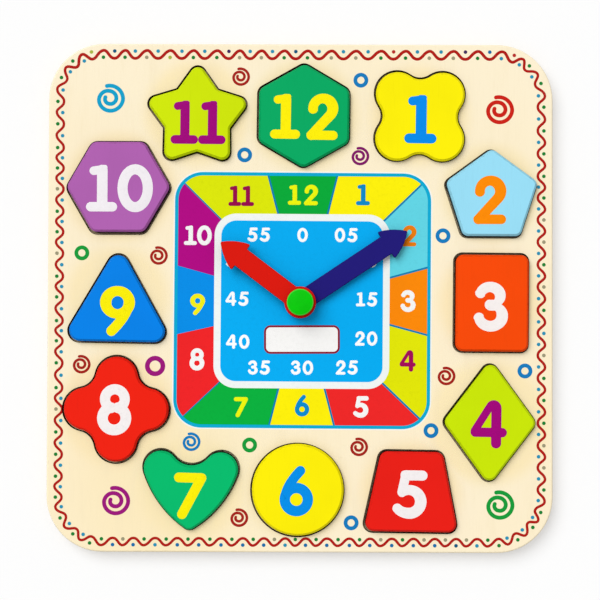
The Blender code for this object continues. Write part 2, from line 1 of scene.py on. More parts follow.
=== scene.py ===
"""Finish of a wooden teaching clock: painted blocks, printed face, hands, hub, floor, light and camera.

The solids of the clock give every place. The board lies on its back with its middle at the origin, the
twelve stands up along +Y, and the face looks along +Z. Lengths are metres, and MM turns millimetres
into them.
"""

from __future__ import annotations

import logging
import math
from collections.abc import Callable, Iterator, Sequence
from contextlib import contextmanager
from dataclasses import dataclass
from enum import Enum

import bmesh
import bpy
from mathutils import Euler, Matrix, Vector

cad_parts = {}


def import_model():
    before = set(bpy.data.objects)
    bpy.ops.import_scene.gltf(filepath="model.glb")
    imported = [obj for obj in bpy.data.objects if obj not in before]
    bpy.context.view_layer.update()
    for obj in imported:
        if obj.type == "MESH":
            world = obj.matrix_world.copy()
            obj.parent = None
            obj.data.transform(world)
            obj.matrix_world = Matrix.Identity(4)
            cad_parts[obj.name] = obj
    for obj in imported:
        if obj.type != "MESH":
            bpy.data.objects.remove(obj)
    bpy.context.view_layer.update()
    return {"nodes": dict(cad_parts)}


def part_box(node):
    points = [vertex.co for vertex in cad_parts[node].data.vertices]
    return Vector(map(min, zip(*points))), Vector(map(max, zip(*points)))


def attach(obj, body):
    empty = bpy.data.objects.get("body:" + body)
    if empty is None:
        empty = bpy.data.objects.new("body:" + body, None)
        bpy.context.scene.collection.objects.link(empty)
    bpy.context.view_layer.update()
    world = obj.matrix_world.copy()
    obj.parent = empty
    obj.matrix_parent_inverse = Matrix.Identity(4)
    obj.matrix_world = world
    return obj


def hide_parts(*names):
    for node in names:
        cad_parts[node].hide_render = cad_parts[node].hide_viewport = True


LOG = logging.getLogger("teaching_clock")

Colour = tuple[int, int, int]
Point = tuple[float, float]
Triple = tuple[float, float, float]
Path = list[Point]
Line = list[Triple]

MM = 0.001
PAINT_GLOSS = 0.05
PLASTIC_GLOSS = 0.06
METAL_GLOSS = 0.5


def at(x: float, y: float) -> Point:
    """Gives a place on the face, in metres, from millimetres right of and above the board's middle."""
    return x * MM, y * MM


def linear(colour: Colour) -> tuple[float, float, float, float]:
    """Turns a screen colour into the values that a shader takes.

    Args:
        colour: Red, green and blue from 0 to 255, as a screen shows them.

    Returns:
        The same colour as linear light, with full opacity.
    """
    shares = (part / 255 for part in colour)
    red, green, blue = (s / 12.92 if s <= 0.04045 else ((s + 0.055) / 1.055) ** 2.4 for s in shares)
    return red, green, blue, 1.0


def shaded(colour: Colour, share: float) -> Colour:
    """Gives a colour with each of its parts multiplied by a share."""
    return tuple(min(255, round(part * share)) for part in colour)


class Signal:
    """A node's output that Python's arithmetic can be used on."""

    def __init__(self, tree: bpy.types.NodeTree, socket: bpy.types.NodeSocket) -> None:
        """Wraps an output, with the node tree that it belongs to."""
        self.tree = tree
        self.socket = socket

    def _math(self, operation: str, *values: Signal | float) -> Signal:
        """Adds a Math node.

        Args:
            operation: The Math node's operation.
            values: Its inputs, in order.

        Returns:
            The node's output.
        """
        node = self.tree.nodes.new("ShaderNodeMath")
        node.operation = operation
        for port, value in zip(node.inputs, values):
            connect(self.tree, value, port)
        return Signal(self.tree, node.outputs[0])

    def __add__(self, other: Signal | float) -> Signal:
        """Adds."""
        return self._math("ADD", self, other)

    def __radd__(self, other: float) -> Signal:
        """Adds, with the number on the left."""
        return self._math("ADD", other, self)

    def __sub__(self, other: Signal | float) -> Signal:
        """Subtracts."""
        return self._math("SUBTRACT", self, other)

    def __rsub__(self, other: float) -> Signal:
        """Subtracts from the number on the left."""
        return self._math("SUBTRACT", other, self)

    def __mul__(self, other: Signal | float) -> Signal:
        """Multiplies."""
        return self._math("MULTIPLY", self, other)

    def __rmul__(self, other: float) -> Signal:
        """Multiplies, with the number on the left."""
        return self._math("MULTIPLY", other, self)

    def __abs__(self) -> Signal:
        """Gives the size without the sign."""
        return self._math("ABSOLUTE", self)

    def __gt__(self, other: Signal | float) -> Signal:
        """Gives 1 where this is greater, and 0 elsewhere."""
        return self._math("GREATER_THAN", self, other)

    def sine(self) -> Signal:
        """Gives the sine."""
        return self._math("SINE", self)

    def larger(self, other: Signal | float) -> Signal:
        """Gives the larger of the two."""
        return self._math("MAXIMUM", self, other)

    def smaller(self, other: Signal | float) -> Signal:
        """Gives the smaller of the two."""
        return self._math("MINIMUM", self, other)

    def eased(self, low: float, high: float) -> Signal:
        """Rises smoothly from 0 to 1.

        Args:
            low: The value up to which the result is 0.
            high: The value from which the result is 1.

        Returns:
            The eased signal.
        """
        node = self.tree.nodes.new("ShaderNodeMapRange")
        node.interpolation_type = "SMOOTHSTEP"
        for port, value in zip(node.inputs, (self, low, high)):
            connect(self.tree, value, port)
        return Signal(self.tree, node.outputs[0])


def connect(tree: bpy.types.NodeTree, value: object, port: bpy.types.NodeSocket) -> None:
    """Sets a socket or links it.

    Args:
        tree: The node tree that holds the socket.
        value: A signal to link, or a plain value to set.
        port: The socket that takes it.
    """
    if isinstance(value, Signal):
        tree.links.new(value.socket, port)
    else:
        port.default_value = value


class Recipe:
    """A material, or the light of the world, while it is being mixed."""

    def __init__(self, owner: bpy.types.Material | bpy.types.World) -> None:
        """Starts with an empty node tree.

        Args:
            owner: The new material or world.
        """
        owner.use_nodes = True
        self.owner = owner
        self.tree = owner.node_tree
        self.tree.nodes.clear()

    def add(
        self, kind: str, settings: dict[str, object] | None = None,
        inputs: dict[int | str, object] | None = None, output: int | str = 0
    ) -> Signal:
        """Adds a node of any type.

        Args:
            kind: The node's type.
            settings: Its properties, which are set before its sockets.
            inputs: Values or signals by the name or number of their sockets.
            output: The name or number of the socket that is wanted.

        Returns:
            The wanted output.
        """
        node = self.tree.nodes.new(kind)
        for key, value in (settings or {}).items():
            setattr(node, key, value)
        for key, value in (inputs or {}).items():
            connect(self.tree, value, node.inputs[key])
        return Signal(self.tree, node.outputs[output])

    def place(self, stretch: Triple = (1, 1, 1), turn_deg: float = 0) -> Signal:
        """Gives the place on the piece, in metres, for a pattern to follow.

        Args:
            stretch: How often a pattern repeats along each axis, against its own scale.
            turn_deg: How far it is turned about the upright axis.

        Returns:
            The mapped Object coordinates.
        """
        spot = self.add("ShaderNodeTexCoord", output="Object")
        turn = (0, 0, math.radians(turn_deg))
        return self.add("ShaderNodeMapping", inputs={"Vector": spot, "Rotation": turn, "Scale": stretch})

    def noise(
        self, scale: float, detail: float, roughness: float = 0.5, stretch: Triple = (1, 1, 1),
        turn_deg: float = 0
    ) -> Signal:
        """Adds a noise texture that lies on the piece.

        Args:
            scale: How many of its features lie in a metre.
            detail: How many finer layers it has.
            roughness: How strong the finer layers are.
            stretch: How often it repeats along each axis, against its own scale.
            turn_deg: How far it is turned about the upright axis.

        Returns:
            Its grey value.
        """
        spot = self.place(stretch, turn_deg)
        inputs = {"Vector": spot, "Scale": scale, "Detail": detail, "Roughness": roughness}
        return self.add("ShaderNodeTexNoise", inputs=inputs)

    def mix(self, share: Signal | float, first: Signal | Colour, second: Signal | Colour) -> Signal:
        """Mixes two colours.

        Args:
            share: How much of the second colour shows.
            first: The colour at a share of 0.
            second: The colour at a share of 1.

        Returns:
            The mixed colour.
        """
        colours = [c if isinstance(c, Signal) else linear(c) for c in (first, second)]
        inputs = {0: share, 6: colours[0], 7: colours[1]}
        return self.add("ShaderNodeMix", {"data_type": "RGBA"}, inputs, output=2)

    def part(self, vector: Signal, axis: str) -> Signal:
        """Gives the part of a vector that lies along an axis."""
        return self.add("ShaderNodeSeparateXYZ", inputs={0: vector}, output=axis)

    def away(self, spot: Signal, place: Point) -> Signal:
        """Gives how far a spot is from a place at the origin's height, in metres."""
        inputs = {0: spot, 1: (*place, 0)}
        return self.add("ShaderNodeVectorMath", {"operation": "DISTANCE"}, inputs, output="Value")

    def facing(self) -> Signal:
        """Gives how far a surface looks up or down: 1 when level and 0 when upright."""
        return abs(self.part(self.add("ShaderNodeNewGeometry", output="Normal"), "Z"))

    def seen(self) -> Signal:
        """Tells the rays of the camera from light that only bounces.

        Returns:
            1 where the camera, a mirror or a glass looks, and 0 elsewhere.
        """
        kinds = ("Is Camera Ray", "Is Glossy Ray", "Is Transmission Ray")
        camera, mirror, glass = (self.add("ShaderNodeLightPath", output=kind) for kind in kinds)
        return camera.larger(mirror).larger(glass)

    def bump(self, height: Signal, depth: float, strength: float) -> Signal:
        """Turns a height into a bent normal.

        Args:
            height: The height, from 0 to 1.
            depth: How deep that is, in metres.
            strength: How much of it shows.

        Returns:
            The normal.
        """
        return self.add("ShaderNodeBump", inputs={"Height": height, "Distance": depth, "Strength": strength})

    def finish(
        self, colour: Signal, roughness: Signal, normal: Signal, gloss: float, metallic: float = 0
    ) -> bpy.types.Material:
        """Ends a material with its shader.

        Args:
            colour: Its colour.
            roughness: How rough it is.
            normal: Its bent normal.
            gloss: How strongly it mirrors.
            metallic: 1 for bare metal.

        Returns:
            The finished material.
        """
        inputs = {
            "Base Color": colour, "Roughness": roughness, "Normal": normal, "Specular IOR Level": gloss,
            "Metallic": metallic
        }
        return self.end(self.add("ShaderNodeBsdfPrincipled", inputs=inputs))

    def end(
        self, shader: Signal, kind: str = "ShaderNodeOutputMaterial"
    ) -> bpy.types.Material | bpy.types.World:
        """Puts a shader on the surface.

        Args:
            shader: The shader's output.
            kind: The type of the output node.

        Returns:
            The finished material or world.
        """
        surface = self.tree.nodes.new(kind)
        connect(self.tree, shader, surface.inputs["Surface"])
        return self.owner


@dataclass(frozen=True)
class PaintedWood:
    """Satin paint on smooth wood, with end grain and painted shade darkening its sides and painted shade on
    its slopes.

    Attributes:
        name: The material's name.
        colour: The paint on the broad faces.
        grain_turn_deg: How far the grain is turned from upright.
        side_share: How bright the sides are against the broad faces, darkened by the end grain and by painted
            shade.
    """

    name: str
    colour: Colour
    grain_turn_deg: float = 0
    side_share: float = 0.5

    def make(self) -> bpy.types.Material:
        """Mixes the material.

        Returns:
            The material.
        """
        recipe = Recipe(bpy.data.materials.new(self.name))
        cloud = recipe.noise(24, 3)
        fibres = recipe.noise(900, 3, 0.6, (1, 0.07, 1), self.grain_turn_deg)
        flecks = recipe.noise(900, 2).eased(0.68, 0.8)
        level = recipe.facing()
        broad = recipe.mix(cloud.eased(0.4, 0.75), self.colour, shaded(self.colour, 0.98))
        broad = recipe.mix(fibres.eased(0.5, 0.85) * 0.3, broad, shaded(self.colour, 0.92))
        broad = recipe.mix(flecks * 0.25, broad, shaded(self.colour, 0.82))
        # The sides are darker partly from the end grain and partly as painted shade in the gap round the
        # block; the sloped edges take a share of that painted shade.
        lit, dim = (shaded(self.colour, self.side_share * share) for share in (1, 0.75))
        side = recipe.mix(fibres, lit, dim)
        slope = recipe.mix(0.18, broad, side)
        coat = recipe.mix(level.eased(0.15, 0.66), side, recipe.mix(level.eased(0.74, 0.97), slope, broad))
        arris = level.eased(0.2, 0.5) * (1 - level.eased(0.86, 0.99))
        worn = arris * recipe.noise(260, 4, 0.7).eased(0.5, 0.72)
        coat = recipe.mix(worn * 0.3, coat, shaded(self.colour, 0.45))
        relief = recipe.bump(fibres + 0.3 * cloud, 0.02 * MM, 0.4)
        return recipe.finish(coat, 0.42 + 0.12 * fibres + 0.1 * flecks, relief, PAINT_GLOSS)


@dataclass(frozen=True)
class Ink:
    """Screen ink that lets a little of the grain below show as relief.

    Attributes:
        name: The material's name.
        colour: The ink.
        mottle_share: How dark its darkest flecks are.
    """

    name: str
    colour: Colour
    mottle_share: float = 0.94

    def make(self) -> bpy.types.Material:
        """Mixes the material.

        Returns:
            The material.
        """
        recipe = Recipe(bpy.data.materials.new(self.name))
        mottle = recipe.noise(420, 4, 0.65)
        fibres = recipe.noise(1100, 2, stretch=(1, 0.06, 1))
        cloud = recipe.noise(30, 2)
        coat = recipe.mix(mottle.eased(0.45, 0.8) * 0.6, self.colour, shaded(self.colour, self.mottle_share))
        coat = recipe.mix(cloud.eased(0.4, 0.75) * 0.5, coat, shaded(self.colour, 0.965))
        relief = recipe.bump(fibres + 0.5 * mottle, 0.01 * MM, 0.35)
        return recipe.finish(coat, 0.38 + 0.16 * mottle, relief, PAINT_GLOSS)


@dataclass(frozen=True)
class Face:
    """How big the board's face is and how high it lies.

    Attributes:
        half_width: Half its width.
        half_height: Half its height.
        level: Its height over the board's underside.
    """

    half_width: float
    half_height: float
    level: float


@dataclass(frozen=True)
class BirchPly:
    """Birch plywood: pale sanded faces, layered outer edges and scorched cut-outs.

    Attributes:
        name: The material's name.
        face: The size of the board.
        pale: The lightest wood on the faces.
        warm: The darker wood on the faces.
        cut_outs: The middle and the reach of each cut-out. The cutter's smoke has tanned the wood round them.
        ply_thickness: How thick one layer is.
        edge_margin: How far in from the board's sides its outer edge is looked for.
        corner_margin: The same across its round corners.
        tan_reach: How far the tan goes.
        tan: The tanned wood.
        warm_place: The middle of the sheet's warmest stretch.
        warm_reach: How far from there it begins and ends to fade.
        glue: The glue between the layers.
        grime: The dirt on the outer edges.
        burnt: The lightest and the darkest of the scorched wood.
    """

    name: str
    face: Face
    pale: Colour
    warm: Colour
    cut_outs: tuple[Triple, ...] = ()
    ply_thickness: float = 1.2 * MM
    edge_margin: float = 4 * MM
    corner_margin: float = 37 * MM
    tan_reach: float = 11 * MM
    tan: Colour = (253, 233, 184)
    warm_place: Point = at(-84, -112)
    warm_reach: Point = (15 * MM, 105 * MM)
    glue: Colour = (134, 98, 62)
    grime: Colour = (160, 120, 80)
    burnt: tuple[Colour, Colour] = ((66, 38, 20), (30, 15, 7))

    def make(self) -> bpy.types.Material:
        """Mixes the material.

        Returns:
            The material.
        """
        recipe = Recipe(bpy.data.materials.new(self.name))
        spot = recipe.place()
        waves = recipe.noise(120, 4, 0.62, (1, 0.16, 1), 1.5)
        fibres = recipe.noise(1500, 3, 0.6, (1, 0.035, 1), 1.0)
        pores = recipe.noise(2600, 2, stretch=(1, 0.12, 1)).eased(0.68, 0.8)
        broad = self.ground(recipe, spot)
        broad = recipe.mix(waves.eased(0.5, 0.78) * 0.4, broad, shaded(self.warm, 0.965))
        broad = recipe.mix(fibres.eased(0.5, 0.8) * 0.3, broad, shaded(self.warm, 0.95))
        broad = recipe.mix(pores * 0.25, broad, shaded(self.warm, 0.88))
        outer = self.outer(recipe, spot)
        scorch = recipe.noise(300, 3, stretch=(1, 1, 0.3)).eased(0.3, 0.7)
        side = recipe.mix(outer, recipe.mix(scorch, *self.burnt), self.layers(recipe, spot))
        level = recipe.facing()
        bare = level.eased(0.25, 0.6) * outer + level.eased(0.8, 0.95) * (1 - outer)
        relief = recipe.bump(fibres + 0.6 * waves - 0.8 * pores, 0.03 * MM, 0.45)
        return recipe.finish(recipe.mix(bare, side, broad), 0.5 + 0.2 * fibres, relief, PAINT_GLOSS)

    def ground(self, recipe: Recipe, spot: Signal) -> Signal:
        """Mixes the face's ground, tanned round the cut-outs and warmer in one place.

        Args:
            recipe: The material that is being mixed.
            spot: The place on the board.

        Returns:
            The ground's colour.
        """
        ground = recipe.mix(recipe.noise(9, 3).eased(0.32, 0.68) * 0.45, self.pale, self.warm)
        if self.cut_outs:
            nearest: Signal | float = 1.0
            for x, y, reach in self.cut_outs:
                nearest = (recipe.away(spot, (x, y)) - reach).smaller(nearest)
            ground = recipe.mix((1 - nearest.eased(0, self.tan_reach)) * 0.82, ground, self.tan)
        glow = 1 - recipe.away(spot, self.warm_place).eased(*self.warm_reach)
        return recipe.mix(glow * 0.7, ground, self.tan)

    def outer(self, recipe: Recipe, spot: Signal) -> Signal:
        """Marks the outer edge of the board.

        Args:
            recipe: The material that is being mixed.
            spot: The place on the board.

        Returns:
            1 along the outer edge and 0 inside it.
        """
        across, up = (abs(recipe.part(spot, axis)) for axis in "XY")
        past_side = across - (self.face.half_width - self.edge_margin)
        past_end = up - (self.face.half_height - self.edge_margin)
        past_corner = across + up - (self.face.half_width + self.face.half_height - self.corner_margin)
        return past_side.larger(past_end).larger(past_corner) > 0

    def layers(self, recipe: Recipe, spot: Signal) -> Signal:
        """Mixes the layers of the outer edge, with the glue between them.

        Args:
            recipe: The material that is being mixed.
            spot: The place on the board.

        Returns:
            The edge's colour.
        """
        layer = (recipe.part(spot, "Z") * (math.pi / self.ply_thickness)).sine()
        edge = recipe.mix(layer.eased(-0.2, 0.35), shaded(self.warm, 0.93), shaded(self.warm, 0.8))
        edge = recipe.mix((1 - abs(layer).eased(0.02, 0.22)) * 0.55, edge, self.glue)
        dirt = recipe.noise(800, 3, stretch=(1, 1, 0.2)).eased(0.5, 0.8)
        return recipe.mix(dirt * 0.3, edge, self.grime)


@dataclass(frozen=True)
class MouldedPlastic:
    """Moulded plastic with a fine skin, a painted highlight where its edges turn and painted shade down its
    sides.

    Attributes:
        name: The material's name.
        colour: The plastic.
        edge_colour: The painted highlight along its rounded edges.
        least_roughness: How rough its smoothest places are.
    """

    name: str
    colour: Colour
    edge_colour: Colour
    least_roughness: float = 0.3

    def make(self) -> bpy.types.Material:
        """Mixes the material.

        Returns:
            The material.
        """
        recipe = Recipe(bpy.data.materials.new(self.name))
        cloud = recipe.noise(150, 3)
        level = recipe.facing()
        # Painted highlight on the rounded edges.
        highlight_band = level.eased(0.45, 0.75) * (1 - level.eased(0.85, 0.97))
        coat = recipe.mix(cloud.eased(0.4, 0.75) * 0.6, self.colour, shaded(self.colour, 0.93))
        coat = recipe.mix(highlight_band * 0.45, coat, self.edge_colour)
        # Painted shade down the upright sides.
        coat = recipe.mix(level.eased(0.1, 0.4), shaded(self.colour, 0.55), coat)
        relief = recipe.bump(recipe.noise(2200, 2), 0.02 * MM, 0.4)
        return recipe.finish(coat, self.least_roughness + 0.12 * cloud, relief, PLASTIC_GLOSS)


@dataclass(frozen=True)
class ZincSteel:
    """Zinc-plated steel with turning marks and dull spots.

    Attributes:
        name: The material's name.
        colour: The plating.
    """

    name: str
    colour: Colour = (196, 200, 206)

    def make(self) -> bpy.types.Material:
        """Mixes the material.

        Returns:
            The material.
        """
        recipe = Recipe(bpy.data.materials.new(self.name))
        spots = recipe.noise(900, 4, 0.6)
        marks = recipe.noise(3000, 2, stretch=(1, 0.05, 1))
        coat = recipe.mix(spots.eased(0.4, 0.7), self.colour, shaded(self.colour, 0.8))
        relief = recipe.bump(marks, 0.02 * MM, 0.4)
        return recipe.finish(coat, 0.26 + 0.2 * spots + 0.1 * marks, relief, METAL_GLOSS, metallic=1)


@dataclass(frozen=True)
class Ground:
    """The matt white table top below the clock.

    Attributes:
        name: The material's name.
        colour: The table top.
        lift: How much of its white is there without light, which keeps the clock's shadow pale.
    """

    name: str = "ground_white"
    colour: Colour = (253, 253, 253)
    lift: float = 0.42

    def make(self) -> bpy.types.Material:
        """Mixes the material.

        Returns:
            The material.
        """
        recipe = Recipe(bpy.data.materials.new(self.name))
        coat = recipe.mix(recipe.noise(3, 2), self.colour, shaded(self.colour, 0.995))
        matt = recipe.add("ShaderNodeBsdfDiffuse", inputs={"Color": coat})
        glow = recipe.add("ShaderNodeEmission", inputs={"Color": (1, 1, 1, 1), "Strength": 1.0})
        inputs = {0: recipe.seen() * self.lift, 1: matt, 2: glow}
        return recipe.end(recipe.add("ShaderNodeMixShader", inputs=inputs))


def take(piece: bpy.types.Object) -> None:
    """Selects one piece alone and makes it the active one.

    Args:
        piece: The piece.
    """
    bpy.ops.object.select_all(action="DESELECT")
    piece.select_set(True)
    bpy.context.view_layer.objects.active = piece


def added(primitive: Callable[..., object], name: str, **sizes: object) -> bpy.types.Object:
    """Adds a primitive.

    Args:
        primitive: The operator that adds it.
        name: The piece's name.
        sizes: What the operator is given.

    Returns:
        The new piece, which alone is selected.
    """
    bpy.ops.object.select_all(action="DESELECT")
    primitive(**sizes)
    piece = bpy.context.object
    piece.name = name
    return piece


@contextmanager
def editing(piece: bpy.types.Object) -> Iterator[None]:
    """Holds a piece in edit mode, with all of it selected at the start.

    Args:
        piece: The piece to edit.

    Returns:
        A context in which mesh operators act on the piece.
    """
    take(piece)
    bpy.ops.object.mode_set(mode="EDIT")
    bpy.ops.mesh.select_mode(type="FACE")
    bpy.ops.mesh.select_all(action="SELECT")
    yield
    bpy.ops.object.mode_set(mode="OBJECT")


class Part(Enum):
    """What is selected in edit mode, with the name of its list in the mesh."""

    FACE = "faces"
    EDGE = "edges"


def select(piece: bpy.types.Object, kind: Part, wanted: Callable[..., bool]) -> None:
    """Selects some of the faces or edges of the piece that is in edit mode, and nothing else.

    Args:
        piece: The piece in edit mode.
        kind: Whether faces or edges are selected.
        wanted: Says of each face or edge whether it is selected.
    """
    bpy.ops.mesh.select_mode(type=kind.name)
    bpy.ops.mesh.select_all(action="DESELECT")
    mesh = bmesh.from_edit_mesh(piece.data)
    for part in getattr(mesh, kind.value):
        part.select_set(wanted(part))
    bmesh.update_edit_mesh(piece.data)


def settle(piece: bpy.types.Object) -> bpy.types.Object:
    """Puts a piece's place, turn and scale into its mesh.

    Args:
        piece: The piece, wherever it stands.

    Returns:
        The same piece, with its object at the origin.
    """
    take(piece)
    bpy.ops.object.transform_apply(location=True, rotation=True, scale=True)
    return piece


def apply_modifiers(piece: bpy.types.Object) -> None:
    """Applies a piece's modifiers in order.

    Args:
        piece: The piece.
    """
    take(piece)
    for modifier in list(piece.modifiers):
        bpy.ops.object.modifier_apply(modifier=modifier.name)


def combine(piece: bpy.types.Object, other: bpy.types.Object, operation: str) -> None:
    """Unites a piece with another one, or cuts it out, and removes the other.

    Args:
        piece: The piece that stays.
        other: The piece that is used up.
        operation: The Boolean modifier's operation.
    """
    modifier = piece.modifiers.new("combine", "BOOLEAN")
    modifier.operation = operation
    modifier.object = other
    apply_modifiers(piece)
    bpy.data.objects.remove(other)


def smooth(piece: bpy.types.Object, angle_deg: float = 50) -> None:
    """Shades a piece smooth over its gentle edges and keeps its flat faces flat.

    Args:
        piece: The piece.
        angle_deg: The steepest edge that is still smoothed.
    """
    take(piece)
    bpy.ops.object.shade_smooth_by_angle(angle=math.radians(angle_deg))
    modifier = piece.modifiers.new("weights", "WEIGHTED_NORMAL")
    modifier.keep_sharp = True
    modifier.weight = 100
    apply_modifiers(piece)


def copied(piece: bpy.types.Object) -> bpy.types.Object:
    """Copies a piece, with a mesh of its own.

    Args:
        piece: The piece.

    Returns:
        The copy.
    """
    twin = piece.copy()
    twin.data = piece.data.copy()
    bpy.context.scene.collection.objects.link(twin)
    return twin


def joined(name: str, parts: Sequence[bpy.types.Object]) -> bpy.types.Object:
    """Joins parts into one piece.

    Args:
        name: The joined piece's name.
        parts: The parts, which are used up.

    Returns:
        The joined piece.
    """
    take(parts[0])
    for part in parts:
        part.select_set(True)
    bpy.ops.object.join()
    parts[0].name = name
    return parts[0]


def hand_over(
    piece: bpy.types.Object, material: bpy.types.Material, body: str
) -> None:
    """Dresses a finished piece and lets it ride.

    Args:
        piece: The finished piece.
        material: What it is made of or printed with.
        body: The body that carries it.
    """
    piece.data.materials.clear()
    piece.data.materials.append(material)
    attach(piece, body)
    LOG.info("%s: %d faces, rides on %s", piece.name, len(piece.data.polygons), body)


ARC_STEP_DEG = 7.5
CAP_ANGLES_DEG = (15, 30, 45, 60, 75, 86)
PINCH_STEPS = 3
BEAD_ROUNDING = 2
BEAD_SMOOTH_DEG = 60
BEAD_MERGE_SHARE = 1e-5
LEVEL_NORMAL = 0.99


def arc(centre: Point, radii: float | Point, start_deg: float, end_deg: float) -> Path:
    """Points along a round stretch.

    Args:
        centre: Its centre.
        radii: Its radius, or its half width and half height.
        start_deg: The angle of its first point, counted from the right and upwards.
        end_deg: The angle of its last point.

    Returns:
        The points, in even steps of at most ARC_STEP_DEG.
    """
    across, up = radii if isinstance(radii, tuple) else (radii, radii)
    steps = max(1, math.ceil(abs(end_deg - start_deg) / ARC_STEP_DEG))
    angles = (math.radians(start_deg + (end_deg - start_deg) * i / steps) for i in range(steps + 1))
    return [(centre[0] + across * math.cos(a), centre[1] + up * math.sin(a)) for a in angles]


def bend(start: Point, control: Point, end: Point, steps: int = 10) -> Path:
    """Points along a stretch that bends towards a control point.

    Args:
        start: Its first point.
        control: The point that it bends towards.
        end: Its last point.
        steps: How many straight steps it is made of.

    Returns:
        The points.
    """
    path = []
    for i in range(steps + 1):
        t = i / steps
        weights = ((1 - t) ** 2, 2 * t * (1 - t), t * t)
        path.append(tuple(sum(w * p[k] for w, p in zip(weights, (start, control, end))) for k in (0, 1)))
    return path


def with_round_ends(path: Line, half_width: float) -> Line:
    """Lengthens an open line by a round cap at each end.

    Args:
        path: The middle line of a stroke.
        half_width: Half the stroke's width.

    Returns:
        The longer line.
    """
    points = list(path)
    for end, inner, outwards in ((path[0][:2], path[1][:2], False), (path[-1][:2], path[-2][:2], True)):
        reach = math.dist(end, inner)
        along = ((end[0] - inner[0]) / reach, (end[1] - inner[1]) / reach)
        cap = []
        for angle in map(math.radians, CAP_ANGLES_DEG):
            step = half_width * math.sin(angle)
            cap.append((end[0] + along[0] * step, end[1] + along[1] * step, math.cos(angle)))
        points = points + cap if outwards else cap[::-1] + points
    return points


def stroke(name: str, path: Path | Line, width: float, rise: float, closed: bool = False) -> bpy.types.Object:
    """Lays a line of ink: a round bead along a path, pressed flat.

    Args:
        name: The piece's name.
        path: The stroke's middle line, with or without width shares.
        width: Its width.
        rise: How high its crown stands over the path's plane.
        closed: Whether its ends meet.

    Returns:
        The stroke, a closed mesh about the path's plane.
    """
    points = [(point[0], point[1], point[2] if len(point) > 2 else 1.0) for point in path]
    points = points if closed else with_round_ends(points, width / 2)
    line = bpy.data.curves.new(name, "CURVE")
    line.dimensions = "3D"
    line.bevel_depth = width / 2
    line.bevel_resolution = BEAD_ROUNDING
    line.use_fill_caps = not closed
    run = line.splines.new("POLY")
    run.points.add(len(points) - 1)
    for point, (x, y, share) in zip(run.points, points):
        point.co = (x, y, 0, 1)
        point.radius = share
    run.use_cyclic_u = closed
    bead = bpy.data.objects.new(name, line)
    bpy.context.scene.collection.objects.link(bead)
    take(bead)
    bpy.ops.object.convert(target="MESH")
    bead.scale.z = rise / (width / 2)
    settle(bead)
    with editing(bead):
        bpy.ops.mesh.remove_doubles(threshold=width * BEAD_MERGE_SHARE)
        bpy.ops.mesh.normals_make_consistent(inside=False)
    take(bead)
    bpy.ops.object.shade_smooth_by_angle(angle=math.radians(BEAD_SMOOTH_DEG))
    return bead


@dataclass(frozen=True)
class Run:
    """One stroke of a digit, in shares of the digit's height.

    Attributes:
        path: Its middle line, from the digit's middle and its foot, with or without width shares.
        width: Its width.
        closed: Whether its ends meet.
    """

    path: Path | Line
    width: float
    closed: bool = False


def swelled(path: Path, *shares: float) -> Line:
    """Spreads width shares evenly along a line.

    Args:
        path: The line.
        shares: The shares, from its first point to its last.

    Returns:
        The line with a width share at each point.
    """
    line = []
    for i, (x, y) in enumerate(path):
        place = i / (len(path) - 1) * (len(shares) - 1)
        before = min(int(place), len(shares) - 2)
        share = shares[before] + (shares[before + 1] - shares[before]) * (place - before)
        line.append((x, y, share))
    return line


def ring(centre: Point, radii: float | Point, width: float) -> Run:
    """Gives a closed round stroke."""
    return Run(arc(centre, radii, 0, 360)[:-1], width, True)


def pinched_ring(centre: Point, radius: float, width: float, pinch_deg: float, pinch_share: float) -> Run:
    """Gives a closed round stroke that is thinner on one side, with its middle left round.

    Args:
        centre: Its centre.
        radius: The radius of its middle line.
        width: Its full width.
        pinch_deg: Where it is thinnest.
        pinch_share: How much of its width is missing there.

    Returns:
        The stroke.
    """
    path = []
    for i in range(round(360 / ARC_STEP_DEG)):
        angle = i * ARC_STEP_DEG
        away = abs((angle - pinch_deg + 180) % 360 - 180)
        share = 1 - pinch_share * max(0.0, 1 - away / (PINCH_STEPS * ARC_STEP_DEG))
        reach = radius - width * (1 - share) / 2
        turn = math.radians(angle)
        path.append((centre[0] + reach * math.cos(turn), centre[1] + reach * math.sin(turn), share))
    return Run(path, width, True)


